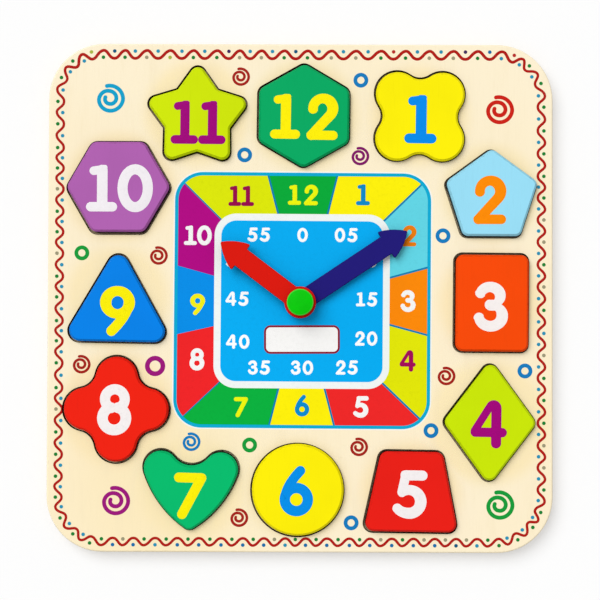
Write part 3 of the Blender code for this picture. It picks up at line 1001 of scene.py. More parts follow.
DIGIT_STROKES: dict[str, tuple[Run, ...]] = {
    "0": (ring((0, 0.5), (0.263, 0.3945), 0.211),),
    "1": (
        Run([(-0.2255, 0.112), (0.2255, 0.112)], 0.197),
        Run([(0.012, 0.14), (0.012, 0.872)], 0.22),
        Run([(-0.165, 0.862), (0.012, 0.887)], 0.18),
        Run([(-0.012, 0.93), (0.066, 0.93)], 0.11),
    ),
    "2": (
        Run(swelled(arc((0.012, 0.681), (0.214, 0.217), 183, -43.5), 0.97, 0.97, 0.98, 1.1, 1.13, 1.03)
            + [(-0.233, 0.099, 0.96)], 0.212),
        Run([(-0.233, 0.099), (0.238, 0.099)], 0.2),
    ),
    "3": (
        Run(swelled(arc((-0.012, 0.714), (0.203, 0.179), 160, -90),
                    0.9, 0.95, 0.96, 1, 1.03, 0.95, 0.72, 0.8), 0.2156),
        Run([(-0.004, 0.529), (0.1, 0.529)], 0.2156),
        Run(swelled(arc((-0.002, 0.3215), (0.236, 0.2137), 90, -166),
                    0.8, 0.78, 1.03, 1.07, 1, 1, 0.98, 0.9), 0.2156),
    ),
    "4": (
        Run([(-0.2955, 0.361)] + arc((0.0964, 0.8402), 0.08, 148, 0), 0.164),
        Run([(-0.2812, 0.332), (0.2803, 0.329)], 0.197),
        Run([(0.1545, 0.83), (0.1545, 0.105)], 0.213),
    ),
    "5": (
        Run([(-0.0975, 0.895), (0.2536, 0.895)], 0.207),
        Run([(-0.13, 0.925), (-0.05, 0.925)], 0.13),
        Run([(-0.0934, 0.889), (-0.161, 0.565)], 0.19),
        Run(swelled(arc((-0.015, 0.354), 0.24, 127, -90), 0.95, 1.03, 1.15, 1.2, 1.16, 1.14)
            + swelled(arc((-0.015, 0.354), (0.3, 0.24), -97.5, -143.5), 1.12, 1.06, 0.99), 0.2),
    ),
    "6": (
        ring((0.001, 0.326), 0.233, 0.212),
        Run(bend((-0.2325, 0.326), (-0.216, 0.60), (0.0815, 0.907)), 0.197),
    ),
    "7": (
        Run([(-0.247, 0.897), (0.24, 0.897)], 0.209),
        Run([(0.24, 0.897), (-0.156, 0.108)], 0.209),
    ),
    "8": (
        pinched_ring((0.006, 0.712), 0.198, 0.204, 270, 0.25),
        pinched_ring((-0.002, 0.329), 0.2355, 0.2157, 90, 0.27),
    ),
    "9": (
        Run(swelled(arc((0, 0.67), (0.2355, 0.2285), 0, 360)[:-1], 1, 0.88, 1.02, 0.82, 1), 0.228, True),
        Run(bend((0.2355, 0.67), (0.19, 0.4), (-0.11, 0.1)), 0.202),
    ),
}

DIGIT_WIDTH_SHARES = {
    "0": 0.745, "1": 0.649, "2": 0.682, "3": 0.685, "4": 0.745,
    "5": 0.7125, "6": 0.69, "7": 0.7, "8": 0.69, "9": 0.69
}
DIGIT_GAP_SHARE = 0.085
PAIR_GAP_SHARES = {"10": 0.0, "11": 0.0, "12": 0.135, "15": 0.07}
SQUEEZES = {"11": 0.95}


class Weight(Enum):
    """How broad a number's strokes are, and how much wider its gaps are, against a block's number."""

    BLOCK = (1.0, 0.0)
    SMALL = (0.96, 0.055)


class Lettering:
    """Numbers in round, even strokes. Each digit is shaped once, one metre high, and then copied."""

    MASTER_RISE = 0.02

    def __init__(self) -> None:
        """Starts with no digit shaped."""
        self.masters: dict[tuple[str, Weight], bpy.types.Object] = {}

    def master(self, digit: str, weight: Weight) -> bpy.types.Object:
        """Gives the digit that copies are taken from.

        Args:
            digit: The digit.
            weight: How broad its strokes are.

        Returns:
            The digit, one metre high, with its foot and its middle at the origin.
        """
        if (digit, weight) not in self.masters:
            breadth, _ = weight.value
            beads = [
                stroke(f"digit_{digit}", run.path, run.width * breadth, self.MASTER_RISE, run.closed)
                for run in DIGIT_STROKES[digit]
            ]
            self.masters[digit, weight] = joined(f"digit_{digit}", beads)
        return self.masters[digit, weight]

    def write(
        self, name: str, text: str, centre: Point, height: float, level: float, rise: float,
        weight: Weight = Weight.BLOCK, turn_deg: float = 0
    ) -> bpy.types.Object:
        """Writes a number.

        Args:
            name: The piece's name.
            text: Its digits.
            centre: The middle of the number.
            height: Its height.
            level: The height of the surface that it is printed on.
            rise: How thick the ink is.
            weight: How broad its strokes are.
            turn_deg: How far it is turned against the clock.

        Returns:
            The number as one piece.
        """
        _, spread = weight.value
        gap = PAIR_GAP_SHARES.get(text, DIGIT_GAP_SHARE) + spread
        widths = [DIGIT_WIDTH_SHARES[digit] for digit in text]
        x = -(sum(widths) + gap * (len(text) - 1)) / 2
        parts = []
        for digit, width in zip(text, widths):
            part = copied(self.master(digit, weight))
            part.location = (x + width / 2, -0.5, 0)
            parts.append(settle(part))
            x += width + gap
        number = joined(name, parts)
        number.scale = (height * SQUEEZES.get(text, 1), height, rise / self.MASTER_RISE)
        number.rotation_euler.z = math.radians(turn_deg)
        number.location = (*centre, level)
        return settle(number)

    def clear(self) -> None:
        """Removes the digits that copies were taken from."""
        for shape in self.masters.values():
            bpy.data.objects.remove(shape)
        self.masters.clear()


CORNER_STEPS = 14
FACE_SINK = 0.02 * MM
INK_RISE = 0.05 * MM


@dataclass(frozen=True)
class RoundedPlate:
    """A flat sheet with round corners.

    Attributes:
        centre: The middle of the sheet.
        width: Its width.
        height: Its height.
        corner_radius: The radius of its corners.
        turn_deg: How far it is turned against the clock.
    """

    centre: Point
    width: float
    height: float
    corner_radius: float
    turn_deg: float = 0

    def build(self, name: str, foot: float, top: float, band: float | None = None) -> bpy.types.Object:
        """Makes the sheet from a plane.

        Args:
            name: The piece's name.
            foot: The height of its lower face.
            top: The height of its upper face.
            band: The width of the rim that is left when it is opened, or None to keep it whole.

        Returns:
            The sheet as a closed mesh.
        """
        sheet = added(bpy.ops.mesh.primitive_plane_add, name, size=1)
        sheet.scale = (self.width, self.height, 1)
        settle(sheet)
        with editing(sheet):
            bpy.ops.mesh.bevel(offset=self.corner_radius, segments=CORNER_STEPS, affect="VERTICES")
            bpy.ops.mesh.select_all(action="SELECT")
            if band is not None:
                bpy.ops.mesh.inset(thickness=band, use_boundary=True)
                bpy.ops.mesh.delete(type="FACE")
                bpy.ops.mesh.select_all(action="SELECT")
            bpy.ops.mesh.extrude_region_move(TRANSFORM_OT_translate={"value": (0, 0, top - foot)})
            bpy.ops.mesh.select_all(action="SELECT")
            bpy.ops.mesh.normals_make_consistent(inside=False)
        sheet.location = (*self.centre, foot)
        sheet.rotation_euler.z = math.radians(self.turn_deg)
        return settle(sheet)


@dataclass
class Board:
    """The two panels of the board, with their plywood showing.

    Attributes:
        nodes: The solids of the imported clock, by name.
        face: The size of the board.
        scorch_width: How far the burnt edges of the cut-outs are broken.
        rim_margin: How far the cut-outs stay inside the board's sides.
        smoke_share: How far the cutter's smoke reaches from a cut-out's middle, against its size.
        round_depths: The depths below a block's top that its round upper edge lies between.
        slack: The difference up to which heights count as the same.
        merge_distance: How near corners are merged.
        flat_deg: The bend up to which neighbouring faces count as one.
        sharp_deg: The bend from which an edge counts as sharp.
        slope_smooth_deg: The steepest edge of a planed block that is still smoothed.
    """

    nodes: dict[str, bpy.types.Object]
    face: Face
    scorch_width: float = 0.16 * MM
    rim_margin: float = 6 * MM
    smoke_share: float = 0.46
    round_depths: Point = (0.1 * MM, 0.6 * MM)
    slack: float = 0.01 * MM
    merge_distance: float = 0.001 * MM
    flat_deg: float = 0.2
    sharp_deg: float = 60
    slope_smooth_deg: float = 30

    def merged_twin(self, node: str) -> bpy.types.Object:
        """Copies a solid as a merged mesh.

        Args:
            node: The solid's name.

        Returns:
            The copy, which stands for the solid.
        """
        twin = copied(self.nodes[node])
        twin.parent = None
        for key in list(twin.keys()):
            del twin[key]
        twin.name = f"{node}_finished"
        with editing(twin):
            bpy.ops.mesh.remove_doubles(threshold=self.merge_distance)
            bpy.ops.mesh.dissolve_limited(angle_limit=math.radians(self.flat_deg))
        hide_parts(node)
        return twin

    def smooth_twin(self, node: str) -> bpy.types.Object:
        """Copies a solid as a merged mesh that is shaded smooth.

        Args:
            node: The solid's name.

        Returns:
            The copy, which stands for the solid.
        """
        twin = self.merged_twin(node)
        smooth(twin)
        return twin

    def planed_twin(self, node: str) -> bpy.types.Object:
        """Copies a solid and planes its round upper edge to one crisp slope.

        Args:
            node: The solid's name.

        Returns:
            The copy, shaded smooth along its outline.
        """
        twin = self.merged_twin(node)
        top = max(vertex.co.z for vertex in twin.data.vertices)
        upper, lower = self.round_depths
        with editing(twin):
            select(twin, Part.EDGE, lambda edge: all(upper < top - end.co.z < lower for end in edge.verts))
            bpy.ops.mesh.dissolve_edges(use_verts=True)
        smooth(twin, self.slope_smooth_deg)
        return twin

    def on_cut_out(self, edge: bmesh.types.BMEdge) -> bool:
        """Says whether an edge of the face panel is the upper edge of a cut-out.

        Args:
            edge: The edge.

        Returns:
            Whether it is.
        """
        for end in (vertex.co for vertex in edge.verts):
            past_side = max(abs(end.x) - self.face.half_width, abs(end.y) - self.face.half_height)
            if end.z <= self.face.level - self.slack or past_side >= -self.rim_margin:
                return False
        return len(edge.link_faces) == 2 and edge.calc_face_angle() > math.radians(self.sharp_deg)

    def cut_outs(self) -> tuple[Triple, ...]:
        """Lists where the cutter's smoke lies.

        Returns:
            For each cut-out, where its middle lies, across and up, and how far the smoke reaches from it.
        """
        places = []
        for number, look in BLOCK_LOOKS.items():
            low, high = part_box(f"block_{number}_{look.shape}")
            middle, size = (low + high) / 2, high - low
            places.append((middle.x, middle.y, self.smoke_share * max(size.x, size.y)))
        return tuple(places)

    def build(self) -> bpy.types.Object:
        """Finishes both panels.

        Returns:
            The finished face panel.
        """
        panel = self.merged_twin("face_panel")
        with editing(panel):
            select(panel, Part.EDGE, self.on_cut_out)
            bpy.ops.mesh.bevel(offset=self.scorch_width, segments=1, affect="EDGES")
        smooth(panel)
        front = BirchPly("face_birch", self.face, (254, 241, 211), (253, 236, 198), self.cut_outs())
        back = BirchPly("back_birch", self.face, (247, 226, 186), (236, 206, 160))
        for piece, wood in ((panel, front), (self.smooth_twin("back_panel"), back)):
            hand_over(piece, wood.make(), "board")
        return panel


class DotColour(Enum):
    """The inks of the rim's dots. Each letter stands for one in the rows of dots."""

    G = (28, 128, 52)
    T = (42, 146, 182)
    B = (28, 112, 170)
    N = (14, 88, 128)
    F = (158, 152, 122)
    Y = (168, 182, 66)
    D = (64, 38, 92)
    R = (186, 44, 40)


@dataclass(frozen=True)
class RimSide:
    """One side of the printed rim, read with the clock from the middle of its first corner.

    Attributes:
        inset: How far its middle line lies inside the board's edge.
        corner_radius: The radius of the line's first corner.
        swing: How far the line swings to each side of its middle.
        line_width: The width of the line.
        dot_places: How far out the outer dots lie from the middle line, and how far in the inner ones.
        hollows: How far along each outer hollow lies, in millimetres.
        outer_dots: The inks of the dots outside the line, one letter for each hollow.
        inner_dots: The inks of the dots inside the line, each half a wave after a hollow.
    """

    inset: float
    corner_radius: float
    swing: float
    line_width: float
    dot_places: tuple[float, float]
    hollows: tuple[float, ...]
    outer_dots: str
    inner_dots: str


RIM_SIDES = (
    RimSide(
        6.45 * MM, 23.6 * MM, 2.45 * MM, 1.8 * MM, (2.05 * MM, -1.65 * MM),
        (2.0, 13.4, 26.8, 39.0, 52.5, 66.6, 80.1, 94.4, 107.0, 120.2, 134.0, 147.8, 162.2, 176.8, 191.9,
         206.0, 220.0, 234.4, 248.8, 262.8),
        "GYNTTTTDTTNTTTRTTDBR", "TGGFYGGFFGGFFGGFFGTT"
    ),
    RimSide(
        6.8 * MM, 26.0 * MM, 2.22 * MM, 1.58 * MM, (1.52 * MM, -1.59 * MM),
        (-0.7, 11.2, 24.9, 39.0, 52.6, 65.9, 78.7, 91.7, 104.8, 118.2, 131.3, 145.1, 158.7, 171.7, 185.2,
         198.2, 211.6, 224.8, 237.8, 250.8, 263.7),
        "GGGGGGGFFGFGTFGGGFFGG", "TTTTTTTTTTTTTTTTTTTTT"
    ),
    RimSide(
        6.15 * MM, 28.1 * MM, 2.2 * MM, 1.58 * MM, (1.89 * MM, -1.48 * MM),
        (-2.7, 8.1, 19.0, 31.8, 44.1, 56.6, 69.2, 81.9, 94.8, 106.8, 120.1, 132.6, 144.6, 157.2, 169.5,
         182.3, 195.4, 208.0, 221.1, 234.0, 246.1, 259.2),
        "GGGTNBBBBBBBTBBBBBTBBG", "TTGFFFGFGGGGFGGGGGGFGT"
    ),
    RimSide(
        6.9 * MM, 25.8 * MM, 2.2 * MM, 1.55 * MM, (1.58 * MM, -1.3 * MM),
        (-3.0, 8.4, 20.3, 32.6, 45.5, 58.6, 72.1, 84.7, 99.3, 112.3, 124.2, 138.2, 150.4, 164.0, 176.7,
         188.8, 202.1, 214.4, 226.5, 240.6, 253.9, 267.7),
        "GGGGGGFGGGGGGFGGFGGGGG", "TTTTTTTTTTTTTTTTTTTTTT"
    ),
)


@dataclass
class RimPrint:
    """The red wavy line round the board, with a dot in each of its hollows.

    Attributes:
        panel: The finished face panel, whose cut-outs cut the print.
        face: The size of the board.
        ink: The ink of the line.
        leans: What makes the waves lean: how much, how many times a wave and where.
        steps_per_wave: How many straight steps a wave is drawn with.
        dot_radius: The radius of a dot.
        dot_sides: How many sides it has.
        dot_slope_share: How much of its radius the slope round its top takes.
        dot_crown_share: How much higher its top is, against the ink's rise.
        cutter_lift: How far the panel's copy is raised that cuts the print at the cut-outs.
    """

    panel: bpy.types.Object
    face: Face
    ink: Colour = (176, 26, 18)
    leans: tuple[Triple, ...] = ((0.05, 2, -0.9), (0.045, 3, 0.5))
    steps_per_wave: int = 16
    dot_radius: float = 1.08 * MM
    dot_sides: int = 20
    dot_slope_share: float = 0.3
    dot_crown_share: float = 0.2
    cutter_lift: float = 1 * MM

    def measures(self, number: int) -> tuple[float, float, float, float, float]:
        """Works out one side's middle line, as if it were the top one.

        Args:
            number: The side, counted with the clock from the top.

        Returns:
            Where it starts and ends, how far out it lies, and the radii of its first and last corners.
        """
        before, side, after = (RIM_SIDES[(number + k) % 4] for k in (-1, 0, 1))
        halves = (self.face.half_width, self.face.half_height)
        length, depth = halves[::-1] if number % 2 else halves
        ends = (before.inset - length, length - after.inset)
        return (*ends, depth - side.inset, side.corner_radius, after.corner_radius)

    def length(self, number: int) -> float:
        """Gives how long a side's middle line is, from corner to corner."""
        start, end, _, first, last = self.measures(number)
        return end - start - (first + last) * (1 - math.pi / 4)

    def middle_line(self, run: float) -> tuple[Vector, Vector]:
        """Follows the middle line round the board.

        Args:
            run: How far along it, from the top side's first corner's middle.

        Returns:
            The place there and the direction out of the board.
        """
        run %= sum(self.length(number) for number in range(4))
        number = 0
        while number < 3 and run > self.length(number):
            run -= self.length(number)
            number += 1
        start, end, out, first, last = self.measures(number)
        left = self.length(number) - run
        if run < first * math.pi / 4:
            radius, across, angle = first, start + first, math.pi * 3 / 4 - run / first
        elif left < last * math.pi / 4:
            radius, across, angle = last, end - last, math.pi / 4 + left / last
        else:
            radius, across, angle = 0.0, start + first * (1 - math.pi / 4) + run, math.pi / 2
        outwards = Vector((math.cos(angle), math.sin(angle)))
        place = Vector((across, out - radius)) + outwards * radius
        for _ in range(number):
            place = Vector((place.y, -place.x))
            outwards = Vector((outwards.y, -outwards.x))
        return place, outwards

    def hollows(self) -> list[tuple[float, RimSide]]:
        """Lists the hollows all round the board.

        Returns:
            How far along the whole line each one lies, and its side, with the first one again at the end.
        """
        places = []
        gone = 0.0
        for number, side in enumerate(RIM_SIDES):
            places += [(gone + hollow * MM, side) for hollow in side.hollows]
            gone += self.length(number)
        return places + [(gone + places[0][0], RIM_SIDES[0])]

    def line(self) -> bpy.types.Object:
        """Draws the wavy line.

        Returns:
            The line as one piece.
        """
        widest = max(side.line_width for side in RIM_SIDES)
        places = self.hollows()
        path = []
        for (run, side), (next_run, next_side) in zip(places, places[1:]):
            for i in range(self.steps_per_wave):
                share = i / self.steps_per_wave
                turn = 2 * math.pi * share
                lean = sum(size * math.cos(times * turn + shift) for size, times, shift in self.leans)
                swing = (side.swing + (next_side.swing - side.swing) * share) * (lean - math.cos(turn))
                width = side.line_width + (next_side.line_width - side.line_width) * share
                place, outwards = self.middle_line(run + (next_run - run) * share)
                path.append((*(place + outwards * swing), width / widest))
        return stroke("rim_wavy_line", path, widest, INK_RISE, closed=True)

    def dots(self) -> dict[DotColour, list[bpy.types.Object]]:
        """Makes the dots.

        Returns:
            The dots of each ink, already in their hollows.
        """
        outer = "".join(side.outer_dots for side in RIM_SIDES)
        inner = "".join(side.inner_dots for side in RIM_SIDES)
        sizes = {"vertices": self.dot_sides, "radius": self.dot_radius, "depth": 2 * INK_RISE}
        master = added(bpy.ops.mesh.primitive_cylinder_add, "dot", **sizes)
        with editing(master):
            select(master, Part.FACE, lambda face: face.normal.z > LEVEL_NORMAL)
            bpy.ops.mesh.inset(thickness=self.dot_radius * self.dot_slope_share)
            bpy.ops.transform.translate(value=(0, 0, INK_RISE * self.dot_crown_share))
        dots: dict[DotColour, list[bpy.types.Object]] = {colour: [] for colour in DotColour}
        places = self.hollows()
        for number, ((run, side), (next_run, _)) in enumerate(zip(places, places[1:])):
            for letters, lead, offset in zip((outer, inner), (0, 0.5), side.dot_places):
                place, outwards = self.middle_line(run + (next_run - run) * lead)
                dot = copied(master)
                dot.location = (*(place + outwards * offset), 0)
                dots[DotColour[letters[number]]].append(settle(dot))
        bpy.data.objects.remove(master)
        return dots

    def lay(self, piece: bpy.types.Object, colour: Colour) -> None:
        """Lays a piece of the print on the face and cuts it off at the cut-outs.

        Args:
            piece: The piece, drawn at the origin's height.
            colour: Its ink.
        """
        piece.location.z = self.face.level
        settle(piece)
        cutter = copied(self.panel)
        cutter.location.z = self.cutter_lift
        combine(piece, settle(cutter), "INTERSECT")
        hand_over(piece, Ink(f"ink_{piece.name}", colour).make(), "board")

    def build(self) -> None:
        """Prints the wavy line and its dots."""
        self.lay(self.line(), self.ink)
        for colour, dots in self.dots().items():
            self.lay(joined(f"rim_dots_{colour.name.lower()}", dots), colour.value)


class Mark(Enum):
    """A kind of ornament: its width over all, and its line's width as a share of that."""

    BIG_SPIRAL = (16.5 * MM, 0.143)
    SMALL_SPIRAL = (10.5 * MM, 0.152)
    RING = (8.8 * MM, 0.26)
    BIG_RING = (12.0 * MM, 0.235)


@dataclass(frozen=True)
class Ornament:
    """A spiral or a ring printed between the blocks.

    Attributes:
        kind: What it is.
        centre: Its middle.
        colour: Its ink.
    """

    kind: Mark
    centre: Point
    colour: Colour


SPIRAL_TURNS = (
    (159, 0.37), (270, 0.42), (360, 0.565), (450, 0.66), (540, 0.88), (630, 1.0), (720, 1.13), (829, 1.1)
)
RED_INK = (165, 32, 24)
BLUE_INK = (22, 124, 190)
GREEN_INK = (22, 154, 57)
PURPLE_INK = (156, 22, 122)

SPIRALS = (
    Ornament(Mark.BIG_SPIRAL, at(-112.2, 117.7), (14, 161, 203)),
    Ornament(Mark.BIG_SPIRAL, at(118.0, 111.6), (204, 33, 21)),
    Ornament(Mark.BIG_SPIRAL, at(-107.8, -119.8), PURPLE_INK),
    Ornament(Mark.BIG_SPIRAL, at(118.3, -121.6), GREEN_INK),
    Ornament(Mark.SMALL_SPIRAL, at(-35.3, 130.7), RED_INK),
    Ornament(Mark.SMALL_SPIRAL, at(-83.4, 24.6), RED_INK),
    Ornament(Mark.SMALL_SPIRAL, at(35.4, 83.8), (130, 20, 103)),
    Ornament(Mark.SMALL_SPIRAL, at(-128.6, -39.7), RED_INK),
    Ornament(Mark.SMALL_SPIRAL, at(-63.6, -85.1), BLUE_INK),
    Ornament(Mark.SMALL_SPIRAL, at(-35.3, -129.6), RED_INK),
    Ornament(Mark.SMALL_SPIRAL, at(86.5, -45.9), RED_INK),
    Ornament(Mark.SMALL_SPIRAL, at(35.1, -87.8), RED_INK),
)
RINGS = (
    Ornament(Mark.RING, at(-33.1, 84.2), BLUE_INK),
    Ornament(Mark.RING, at(35.5, 128.7), BLUE_INK),
    Ornament(Mark.RING, at(84.2, 36.7), BLUE_INK),
    Ornament(Mark.RING, at(77.3, -78.2), BLUE_INK),
    Ornament(Mark.RING, at(30.4, -132.5), BLUE_INK),
    Ornament(Mark.RING, at(132.6, -42.9), BLUE_INK),
    Ornament(Mark.RING, at(-129.0, 25.9), GREEN_INK),
    Ornament(Mark.RING, at(-29.5, -87.0), GREEN_INK),
    Ornament(Mark.BIG_RING, at(-85.4, -40.7), PURPLE_INK),
)


@dataclass
class Ornaments:
    """The spirals and rings between the blocks.

    Attributes:
        level: The height of the face.
        shift_shares: How far left and down a spiral's centre lies, against its reach.
    """

    level: float
    shift_shares: Point = (0.14, 0.07)

    def spiral(self, reach: float) -> Path:
        """Draws a spiral that opens at a nearly even pace.

        Args:
            reach: Half the width of its middle line.

        Returns:
            Its middle line about the origin, from its inner end.
        """
        left, down = (share * reach for share in self.shift_shares)
        path = []
        for (angle, radius), (next_angle, next_radius) in zip(SPIRAL_TURNS, SPIRAL_TURNS[1:]):
            steps = round((next_angle - angle) / ARC_STEP_DEG)
            for i in range(steps):
                turn = math.radians(angle + (next_angle - angle) * i / steps)
                away = reach * (radius + (next_radius - radius) * i / steps)
                path.append((away * math.cos(turn) - left, away * math.sin(turn) - down))
        return path

    def build(self) -> None:
        """Prints every spiral and ring."""
        for shape, marks in (("spiral", SPIRALS), ("ring", RINGS)):
            closed = shape == "ring"
            for number, mark in enumerate(marks, 1):
                size, share = mark.kind.value
                reach = size * (1 - share) / 2
                path = arc((0, 0), reach, 0, 360)[:-1] if closed else self.spiral(reach)
                piece = stroke(f"rim_{shape}_{number}", path, size * share, INK_RISE, closed)
                piece.location = (*mark.centre, self.level)
                settle(piece)
                hand_over(piece, Ink(f"ink_{piece.name}", mark.colour).make(), "board")


@dataclass(frozen=True)
class Segment:
    """One hour of the dial.

    Attributes:
        hour: Its number.
        ground: The ink of its field.
        ink: The ink of its number.
        centre: The middle of its number.
        height: The height of its number.
        start_inner: Where the line before it leaves the white frame.
        start_outer: Where that line meets the border.
        gap: The width of that line.
    """

    hour: str
    ground: Colour
    ink: Colour
    centre: Point
    height: float
    start_inner: Point
    start_outer: Point
    gap: float = 1.2 * MM


WHITE_INK = (247, 248, 246)
YELLOW_INK = (246, 240, 20)
LIME_INK = (238, 246, 6)

SEGMENTS = (
    Segment("12", (1, 169, 56), LIME_INK, at(1.4, 60.6), 12.1 * MM, at(-13.2, 49.6), at(-18.9, 71.6)),
    Segment("1", (254, 241, 3), (8, 137, 198), at(36.9, 60.8), 12.8 * MM, at(16.2, 49.7), at(21.6, 71.4)),
    Segment("2", (98, 214, 230), (238, 128, 8), at(64.3, 36.6), 12.4 * MM, at(49.5, 45.6), at(70.2, 65.7)),
    Segment("3", (253, 138, 2), WHITE_INK, at(63.6, -1.9), 13.0 * MM, at(53.0, 11.8), at(74.6, 17.7)),
    Segment("4", (227, 231, 1), (162, 6, 88), at(63.5, -37.2), 12.6 * MM, at(53.6, -16.2), at(74.7, -21.9)),
    Segment("5", (239, 38, 38), WHITE_INK, at(36.0, -64.4), 12.8 * MM, at(48.4, -50.2), at(69.5, -70.3)),
    Segment("6", (255, 241, 2), (2, 140, 206), at(1.3, -63.7), 12.6 * MM, at(14.6, -54.0), at(20.1, -75.2)),
    Segment("7", (2, 176, 61), LIME_INK, at(-34.7, -64.8), 11.9 * MM, at(-12.7, -53.8), at(-18.0, -75.0)),
    Segment(
        "8", (241, 35, 38), WHITE_INK, at(-60.7, -36.7), 12.8 * MM,
        at(-47.4, -50.0), at(-67.7, -69.2), 0.7 * MM
    ),
    Segment(
        "9", (0, 143, 234), YELLOW_INK, at(-60.5, -4.3), 12.7 * MM,
        at(-51.1, -17.1), at(-72.5, -21.9), 0.1 * MM
    ),
    Segment(
        "10", (178, 2, 132), WHITE_INK, at(-60.5, 36.5), 11.8 * MM,
        at(-51.0, 12.7), at(-72.3, 18.6), 0.1 * MM
    ),
    Segment(
        "11", (221, 232, 1), (150, 4, 74), at(-35.0, 59.9), 12.3 * MM,
        at(-46.6, 45.8), at(-67.5, 66.4), 0.8 * MM
    ),
)

MINUTE_PLACES = {
    "0": at(1.3, 36.9), "05": at(27.0, 36.9), "10": at(39.3, 22.1), "15": at(39.2, -1.0),
    "20": at(39.0, -24.1), "25": at(27.6, -41.2), "30": at(1.2, -41.4), "35": at(-24.2, -41.4),
    "40": at(-36.7, -26.2), "45": at(-37.2, -0.9), "50": at(-37.1, 22.1), "55": at(-24.6, 37.0),
}


@dataclass(frozen=True)
class Sheet:
    """One rounded sheet of the dial.

    Attributes:
        plate: Its shape.
        layer: Its ink layer, counted from the first.
        colour: Its ink.
        band: The width of its rim where it is open, or None where it is whole but for the hub's hole.
    """

    plate: RoundedPlate
    layer: int
    colour: Colour
    band: float | None = None


DIAL_MIDDLE = at(1.3, -1.7)
DIAL_TURN_DEG = -0.25
HOURS_FIELD = RoundedPlate(DIAL_MIDDLE, 147.3 * MM, 146.9 * MM, 14.5 * MM, DIAL_TURN_DEG)
HOUR_LAYER = 4
PANEL_LAYER = 6

LOWER_SHEETS = {
    "keyline": Sheet(
        RoundedPlate(DIAL_MIDDLE, 152.7 * MM, 152.3 * MM, 17.2 * MM, DIAL_TURN_DEG), 1,
        (250, 250, 246), 1.4 * MM
    ),
    "border": Sheet(
        RoundedPlate(DIAL_MIDDLE, 151.3 * MM, 150.9 * MM, 16.5 * MM, DIAL_TURN_DEG), 2, (8, 171, 212)
    ),
    "dividers": Sheet(HOURS_FIELD, 3, (14, 128, 178)),
}
UPPER_SHEETS = {
    "white_frame": Sheet(
        RoundedPlate(at(0.96, -2.2), 103.6 * MM, 103.0 * MM, 13.0 * MM, DIAL_TURN_DEG), 5,
        (243, 248, 246), 5 * MM
    ),
    "panel": Sheet(
        RoundedPlate(at(1.0, -2.2), 95.6 * MM, 94.8 * MM, 9.0 * MM, DIAL_TURN_DEG), PANEL_LAYER, (0, 174, 245)
    ),
    "plate_rim": Sheet(
        RoundedPlate(at(1.12, -24.8), 44.7 * MM, 16.8 * MM, 3.8 * MM, 0.3), 7, (142, 22, 44), 2 * MM
    ),
    "plate": Sheet(RoundedPlate(at(1.12, -24.8), 42.3 * MM, 14.4 * MM, 2.6 * MM, 0.3), 8, (250, 249, 247)),
}


